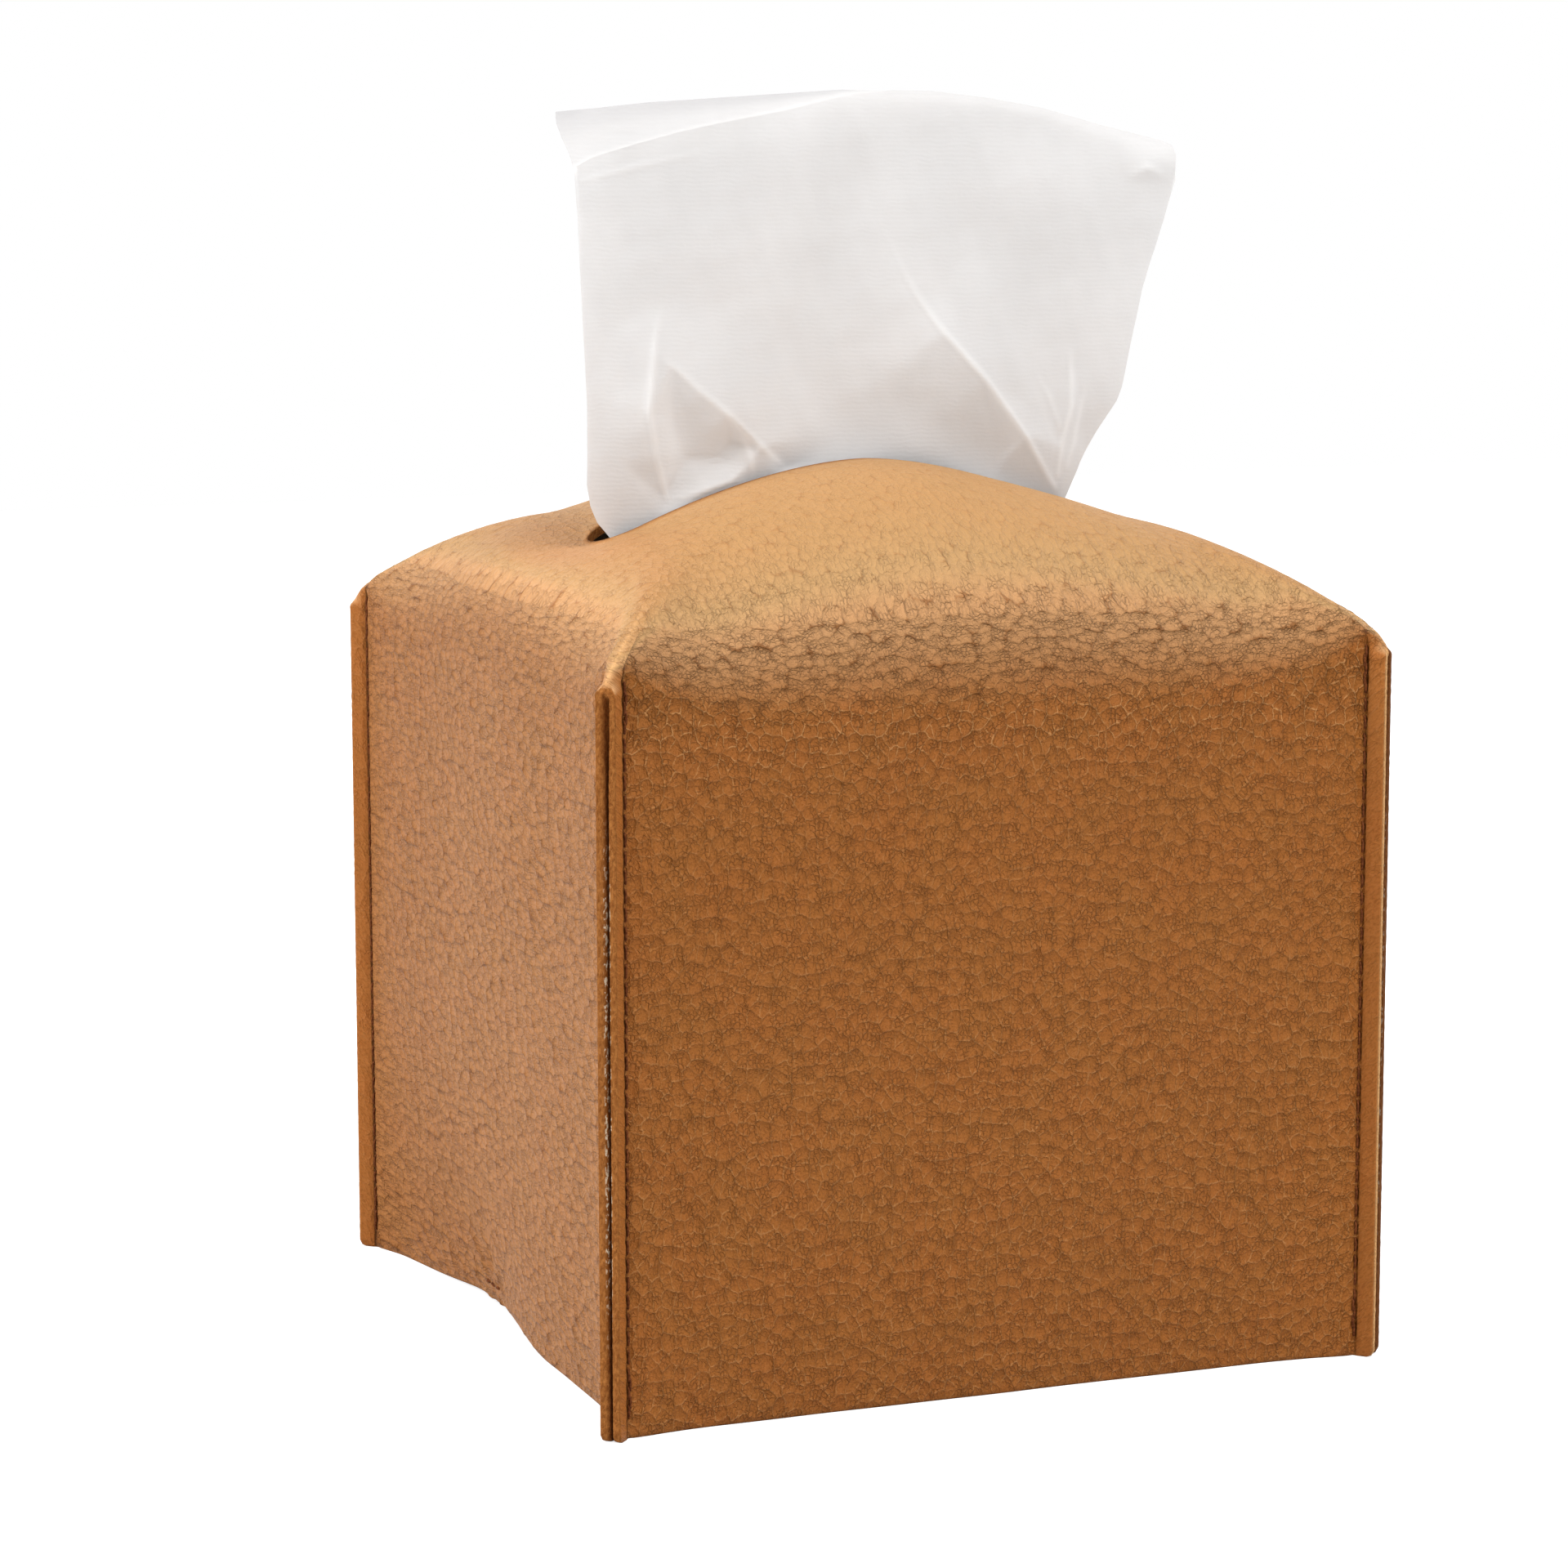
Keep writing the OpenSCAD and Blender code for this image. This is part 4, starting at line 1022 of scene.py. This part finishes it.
def tissue_stack():
    """Folded tissues: rounded folds in front and behind, cut edges on the left and right."""
    rng = np.random.default_rng(17)
    half = np.array(stack_high[:2]) - 0.1
    side = np.linspace(-1, 1, STACK_SIDE, endpoint=False)
    one = np.ones(STACK_SIDE)
    edges = ((side, -one), (one, side), (-side, one), (-one, -side))
    square = np.vstack([np.column_stack(edge) for edge in edges])
    folded = np.repeat([True, False, True, False], STACK_SIDE)
    height = stack_high.z - stack_low.z
    rows = []
    for i in range(STACK_LAYERS):
        slack = np.repeat(rng.uniform(0.0, STACK_SLACK, 4), STACK_SIDE) * STACK_SLACK_SHARE
        for k in range(LAYER_ROWS):
            bulge = math.sin(math.pi * (k + 0.5) / LAYER_ROWS)
            inset = np.where(folded, 1.5 - 1.4 * bulge, 0.55 - 0.35 * bulge) + slack
            z = np.full(len(square), stack_low.z + height * (i + k / LAYER_ROWS) / STACK_LAYERS)
            rows.append(np.column_stack([square * (half - inset[:, None]), z]))
    for share in np.linspace(0.03, 1, STACK_TOP_ROWS):
        xy = square * (half - 1.6) * (1 - share)
        rows.append(np.column_stack([xy, np.full(len(xy), stack_high.z)]))
    points = np.array(rows)
    top = points[-STACK_TOP_ROWS:]
    top[..., 2] += np.minimum(0.35 * waves(top, 23.0, 71) - 0.35, 0)
    points = np.concatenate([points[:1] * np.array([0, 0, 1]), points])
    points[..., 2] = np.clip(points[..., 2], stack_low.z, stack_high.z)
    piece = add_piece(grid_mesh("tissue_stack_folds", points, close_columns=True), folded_tissues)
    place_piece(piece, "carton", "tissue_paper", "tissue_stack")


refill_carton()
carton_film()
tissue_stack()

# Tissue sheet: a front and a back layer, joined by a fold in the carton. Points are x and z.

SHEET_LEFT = [
    (-41, 113.1), (-41, 126.9), (-42, 128), (-43.6, 129.8), (-44.7, 132.4), (-45.3, 136), (-45.2, 148),
    (-45.7, 165), (-46.1, 177),
]
FRONT_LEFT_TOP = [(-46.3, 182), (-46.5, 185.2)]
BACK_LEFT_TOP = [(-46.6, 184), (-47.3, 187), (-48.4, 189.6), (-49, 191.6), (-49, 193.5)]
SHEET_RIGHT = [
    (37, 113.1), (37, 131), (39.8, 137), (42.6, 141.5), (46.3, 146.8), (47.2, 149), (49.1, 157.6),
    (50.9, 165.2), (54.4, 175.6),
]
FRONT_RIGHT_TOP = [(55.6, 180), (56.1, 183.5), (56, 186.4)]
BACK_RIGHT_TOP = [(56.6, 180.3), (57.2, 182.4), (56.8, 184.3), (55.9, 186)]
FRONT_TOP = [
    (-46.5, 185.2), (-44, 186.5), (-37.9, 188.3), (-29.8, 190.4), (-24.5, 191.5), (-11.7, 193.8),
    (-1.8, 196), (6, 196.8), (12.8, 196.7), (22.6, 195.6), (32.1, 194), (43, 191.2), (53.2, 188.8),
    (55.2, 188), (56, 186.4),
]
BACK_TOP = [
    (-49, 193.5), (-42.3, 194.1), (-34.7, 194.9), (-20, 195.8), (-1.8, 196.9), (12.8, 196.5),
    (22.6, 195.4), (32.1, 193.8), (43, 191), (52.5, 188.4), (55.9, 186),
]
# The folds: x, z and how far each point stands forward
SHEET_FOLDS = [
    # The ridge that runs down to the slot's right end, and the valley on its left
    (4, 176, 1.9), (9.5, 164.5, 3.4), (13.8, 158.3, 5.2), (20.7, 151, 5.4), (28.1, 141.9, 4.6),
    (34.6, 133, 1.6), (-3.4, 172.5, 0.7), (-10.5, 156, 0.8), (0, 150, 1.8), (-2, 143, 0.8),
    (12, 144, 1.6), (24, 138, 1.2),
    # The upright ridge on the left and the one that runs down from its middle
    (-33.2, 164, 1.0), (-34.6, 156, 3.0), (-36, 147, 3.9), (-34.7, 140, 3.3), (-32.6, 133.5, 1.7),
    (-32, 154.6, 3.3), (-27.6, 150.2, 4.4), (-23.2, 146.5, 4.6), (-17.2, 141.2, 3.4), (-12.2, 137.4, 0.8),
    (-31.4, 146, 1.0), (-29, 139.5, 0.4), (-24, 139.6, 0.7), (-21.5, 142, 1.4),
    # The tucks over the lip
    (-26.8, 134.5, 3.5), (-22.7, 135.6, 3.7), (-19.2, 138, 3.1), (-18.4, 135.2, 2.2), (-30.5, 131.9, 2.7),
    # The creases at the right end
    (37.4, 154, 1.3), (37.4, 146, 2.2), (35.6, 139.6, 2.3), (33, 144.5, 2.0), (39.4, 147, 1.0),
    (38.3, 140, 1.2), (36.9, 136.2, 1.6),
    # Broad swells
    (-41, 160, 0.6), (-41, 140, 1.5), (-24, 172, 2.2), (-40, 178, 0.8), (-16, 184, 1.7), (3, 186, 0.7),
    (14, 181, 1.9), (26, 170, 1.2), (36, 180, 2.0), (44, 168, 0.8), (30, 160, 1.6), (47, 182, 1.2),
    (51, 184, 2.4), (-20, 160, 1.6),
    # Along the edges and the lip
    (-46.6, 185.2, 0.2), (-46, 170, 0.0), (-46, 150, 0.4), (-46, 136, 0.8), (-42, 128, 0.4),
    (-34, 130.6, 2.2), (-14, 136.6, 2.2), (0, 138.9, 1.6), (12, 138.2, 1.6), (24, 135, 1.4),
    (36, 130.4, 0.8), (41, 138, 0.2), (47, 148, 0.5), (51, 165, 0.3), (56, 182, 0.6), (56.5, 187.5, 1.8),
    (43, 191.5, 0.9), (22.6, 196, 1.2), (-1.8, 197, 1.3), (-24.5, 192, 1.6), (-60, 200, 0), (-60, 110, 0),
    (65, 110, 0), (65, 200, 0),
]
# The sharp creases: x, z and how strong each is there
SHEET_CREASES = [
    [
        (4, 176, 0), (7.6, 168, 0.2), (9.5, 164.5, 0.5), (13.8, 158.3, 0.9), (20.7, 151, 1),
        (28.1, 141.9, 1), (34.6, 133, 0.7),
    ],
    [
        (-33.2, 164, 0), (-34.6, 158, 0.5), (-35.4, 152, 0.9), (-36, 147, 0.8), (-34.7, 140, 0.6),
        (-32.6, 133.5, 0.7),
    ],
    [
        (-33, 155, 0.2), (-31, 153.4, 0.6), (-27.6, 150.2, 0.6), (-23.2, 146.5, 0.9), (-17.2, 141.2, 1),
        (-12.2, 137.4, 0.6),
    ],
    [(-21.4, 144.6, 0), (-19.6, 142, 0.6), (-18.6, 139, 0.8), (-18.4, 135.2, 0.5)],
    [(-30.2, 133.4, 0.3), (-26.8, 134.5, 0.9), (-22.7, 135.6, 0.9), (-20.2, 137.4, 0.3)],
    [(37.4, 156, 0), (37.6, 151, 0.6), (37.4, 146, 0.8), (35.6, 139.6, 0.9), (35.2, 135, 0.6)],
    [(40.2, 150, 0), (39.4, 146, 0.5), (38.3, 140, 0.6), (36.9, 136.2, 0.4)],
    [(30.5, 152.5, 0), (33.5, 147.5, 0.4), (35.2, 143, 0.3)],
    [(47, 183, 0), (50.5, 184.6, 0.6), (53.4, 183.4, 0.4)],
    [(-45.8, 183, 0.3), (-38, 184.8, 0.5), (-27, 187.2, 0.2)],
]
CREASE_SPREAD = 0.5
CREASE_REACH = 5.0
CREASE_RISE = 0.3
SHEET_ROWS, SHEET_COLUMNS = 176, 210
GATHERS = 3
SOFT_PASSES = 50


def along_line(points, count):
    """Points evenly spaced along a line through other points."""
    points = np.array(points, float)
    reach = np.concatenate([[0], np.cumsum(np.linalg.norm(np.diff(points, axis=0), axis=1))])
    where = np.linspace(0, reach[-1], count)
    return np.stack([np.interp(where, reach, points[:, k]) for k in range(2)], axis=1)


def patch(left, right, low, high):
    """A grid of points [row, column] that fills the space between four lines."""
    v = np.linspace(0, 1, len(left))[:, None, None]
    u = np.linspace(0, 1, len(low))[None, :, None]
    left, right, low, high = left[:, None], right[:, None], low[None], high[None]
    corners = mix(mix(low[:, :1], low[:, -1:], u), mix(high[:, :1], high[:, -1:], u), v)
    return mix(left, right, u) + mix(low, high, v) - corners


def fold_forward(x, z):
    """How far the sheet stands forward: flat facets between the points of its folds."""
    corners = [Vector((a, b)) for a, b, _ in SHEET_FOLDS]
    spots, _, faces, origins, _, _ = delaunay_2d_cdt(corners, [], [], 0, 1e-4)
    heights = [SHEET_FOLDS[origin[0]][2] for origin in origins]
    forward = np.zeros(x.shape)
    for face in faces:
        (ax, az), (bx, bz), (cx, cz) = (spots[i] for i in face)
        area = (bx - ax) * (cz - az) - (cx - ax) * (bz - az)
        wb = ((x - ax) * (cz - az) - (cx - ax) * (z - az)) / area
        wc = ((bx - ax) * (z - az) - (x - ax) * (bz - az)) / area
        inside = (wb >= -1e-9) & (wc >= -1e-9) & (wb + wc <= 1 + 1e-9)
        ha, hb, hc = (heights[i] for i in face)
        forward = np.where(inside, ha + wb * (hb - ha) + wc * (hc - ha), forward)
    return forward


def creased(x, z, spread):
    """How strong the sheet's sharp creases are: up to 1 on them, and 0 away from them."""
    crease_and_highlight = np.zeros(x.shape)
    for line in SHEET_CREASES:
        for (ax, az, a_share), (bx, bz, b_share) in zip(line[:-1], line[1:]):
            along = ((x - ax) * (bx - ax) + (z - az) * (bz - az)) / ((bx - ax) ** 2 + (bz - az) ** 2)
            along = np.clip(along, 0, 1)
            away = np.hypot(x - mix(ax, bx, along), z - mix(az, bz, along))
            crease_and_highlight = np.maximum(crease_and_highlight, mix(a_share, b_share, along) * bell(away, spread))
    return crease_and_highlight


def smoothed(values, passes):
    """A grid of values, softened a little along its rows and columns in each pass."""
    for _ in range(passes):
        for axis in (0, 1):
            padded = np.concatenate([values.take([0], axis), values, values.take([-1], axis)], axis)
            count = values.shape[axis]
            a, b, c = (padded.take(range(k, k + count), axis) for k in range(3))
            values = (a + 2 * b + c) / 4
    return values


def sheet_layer(left, right, high, in_front):
    """Points of one layer, inside its left, right and top lines, and where it is creased."""
    low = along_line([SHEET_LEFT[0], SHEET_RIGHT[0]], SHEET_COLUMNS)
    left, right = along_line(left, SHEET_ROWS), along_line(right, SHEET_ROWS)
    xz = patch(left, right, low, along_line(high, SHEET_COLUMNS))
    x, z = xz[..., 0], xz[..., 1]
    above = z - lip_height(x)
    place = np.linspace(-1, 1, SHEET_COLUMNS)[None, :]
    gather = -GATHER_D / 2 * np.cos(GATHERS * np.pi * place) * eased(above, 3.0, -12.0)
    facets = fold_forward(x, z)
    sharp = creased(x, z, CREASE_REACH) * in_front
    forward = mix(smoothed(facets, SOFT_PASSES), smoothed(facets, 1), sharp) * eased(above, -9.0, 0.0)
    forward = np.minimum(forward, 3.0 + np.maximum(above, 0) * 0.6)
    # The creases stand forward a little and get a painted highlight along them
    crease_and_highlight = creased(x, z, CREASE_SPREAD) * in_front * eased(above, -1.0, 1.5)
    forward += CREASE_RISE * crease_and_highlight
    points = np.stack([x, SHEET_Y + gather - forward, z], axis=-1)
    wrinkle = 0.16 * waves(points, 13.0, 81) + 0.07 * waves(points, 5.0, 82)
    points[..., 1] += wrinkle * eased(above, 0, 8)
    return points, crease_and_highlight


def tissue_sheet():
    """Both layers and the fold that joins them. A strip of the back one shows above the front one."""
    front, front_fold_highlight = sheet_layer(
        SHEET_LEFT + FRONT_LEFT_TOP, SHEET_RIGHT + FRONT_RIGHT_TOP, FRONT_TOP, True)
    back, back_fold_highlight = sheet_layer(
        SHEET_LEFT + BACK_LEFT_TOP, SHEET_RIGHT + BACK_RIGHT_TOP, BACK_TOP, False)
    x, z = back[..., 0], back[..., 2]
    apart = 0.35 + 1.7 * eased(z, 150, 192) * (0.65 + 0.35 * np.cos(x / 11 + 0.7))
    front_top, back_top = (np.interp(x, *np.array(line).T) for line in (FRONT_TOP, BACK_TOP))
    past = z - front_top
    lean = 0.02 * np.clip(past + 1.5, 0, 9) ** 2
    back[..., 1] = np.maximum(back[..., 1], front[..., 1]) + apart + lean
    up_strip = past / np.maximum(back_top - front_top, 1.0)
    # Painted shade on the strip of the back layer above the front one, darker towards its top edge
    rim = eased(past, 0.0, 0.5) * mix(0.25, 0.8, eased(up_strip, 0.3, 0.95))
    fold = mix(front[:1], back[:1], 0.5)
    fold[..., 2] -= 0.18
    mesh = grid_mesh("tissue_sheet_layers", np.concatenate([front[::-1], fold, back]))
    set_values(mesh, "crease_and_highlight", np.concatenate([front_fold_highlight[::-1], front_fold_highlight[:1], back_fold_highlight]))
    set_values(mesh, "rim", np.concatenate([np.zeros((len(front) + 1, x.shape[1])), rim]))
    piece = add_piece(mesh, tissue_paper)
    place_piece(piece, "tissue", "tissue_paper", "tissue_sheet")


tissue_sheet()

# Camera, as fitted to the ends of the three seams that the photograph shows

PHOTO_SIDE = 1919
FOCAL_PIXELS = 5536.386
CAMERA_PLACE = Vector((-276.896, -670.979, 194.474)) * MM
YAW, PITCH, ROLL = 21.6234, 8.534, -0.0664
LAMP_AIM = (0, 0, 0.07)
FLOOR_HALF = 1500


def add_camera():
    data = bpy.data.cameras.new("camera")
    data.sensor_width = 36.0
    data.lens = data.sensor_width * FOCAL_PIXELS / PHOTO_SIDE
    camera = add_object("camera", data)
    yaw, pitch, roll = (math.radians(a) for a in (YAW, PITCH, ROLL))
    forward = Vector((math.sin(yaw) * math.cos(pitch), math.cos(yaw) * math.cos(pitch), -math.sin(pitch)))
    level = Vector((math.cos(yaw), -math.sin(yaw), 0))
    upward = level.cross(forward)
    right = level * math.cos(roll) + upward * math.sin(roll)
    up = upward * math.cos(roll) - level * math.sin(roll)
    turn = Matrix((right, up, -forward)).transposed()
    camera.matrix_world = Matrix.Translation(CAMERA_PLACE) @ turn.to_4x4()
    bpy.context.scene.camera = camera


def two_looks(owner, output, base, light):
    """Nodes for the world or the floor. What lights the object is base. What the camera, gloss and
    transmission rays see is light, or base and light together where base is a surface."""
    owner.use_nodes = True
    owner.node_tree.nodes.clear()
    nodes = Nodes(owner.node_tree)
    path = nodes.add("ShaderNodeLightPath").outputs
    seen = nodes.math("MAXIMUM", path["Is Camera Ray"], path["Is Glossy Ray"])
    seen = nodes.math("MAXIMUM", seen, path["Is Transmission Ray"])
    base, light = (nodes.add(kind, inputs).outputs[0] for kind, inputs in (base, light))
    if output == "ShaderNodeOutputMaterial":
        light = nodes.add("ShaderNodeAddShader", {0: base, 1: light}).outputs[0]
    both = nodes.add("ShaderNodeMixShader", {0: seen, 1: base, 2: light}).outputs[0]
    nodes.add(output, {"Surface": both})


def add_world(level):
    """White to look at, with a soft light of the level on the object."""
    world = bpy.context.scene.world = bpy.data.worlds.new("studio")
    dim = ("ShaderNodeBackground", {"Color": colour(1, 0.99, 0.98), "Strength": level})
    white = ("ShaderNodeBackground", {"Color": colour(1, 1, 1), "Strength": 1.0})
    two_looks(world, "ShaderNodeOutputWorld", dim, white)


def add_floor(glow_level):
    """A white floor that still shows the object's shadow."""
    material = bpy.data.materials.new("pale_floor")
    plain = ("ShaderNodeBsdfDiffuse", {"Color": colour(0.6, 0.6, 0.6)})
    glow = ("ShaderNodeEmission", {"Color": colour(1, 1, 1), "Strength": glow_level})
    two_looks(material, "ShaderNodeOutputMaterial", plain, glow)
    corners = np.array([[-1, -1, 0], [1, -1, 0], [1, 1, 0], [-1, 1, 0]]) * FLOOR_HALF
    add_piece(quad_mesh("floor", corners, np.array([[0, 1, 2, 3]])), material)


def add_lamp(name, place, side, power):
    """A square soft lamp, its place and side in metres and its power in watts."""
    data = bpy.data.lights.new(name, "AREA")
    data.shape, data.size, data.energy = "SQUARE", side, power
    lamp = add_object(name, data)
    lamp.location = place
    lamp.rotation_mode = "QUATERNION"
    lamp.rotation_quaternion = (Vector(LAMP_AIM) - Vector(place)).to_track_quat("-Z", "Y")


add_camera()
add_world(0.38)
add_floor(0.7)
add_lamp("key", (0.35, -0.8, 1.6), 0.7, 22.0)
add_lamp("left", (-1.5, 0.1, 0.8), 0.8, 22.0)
add_lamp("right", (1.5, 0.3, 0.7), 0.9, 5.0)
add_lamp("back", (-0.2, 1.1, 1.3), 0.9, 6.0)

scene = bpy.context.scene
scene.view_settings.view_transform = "Standard"
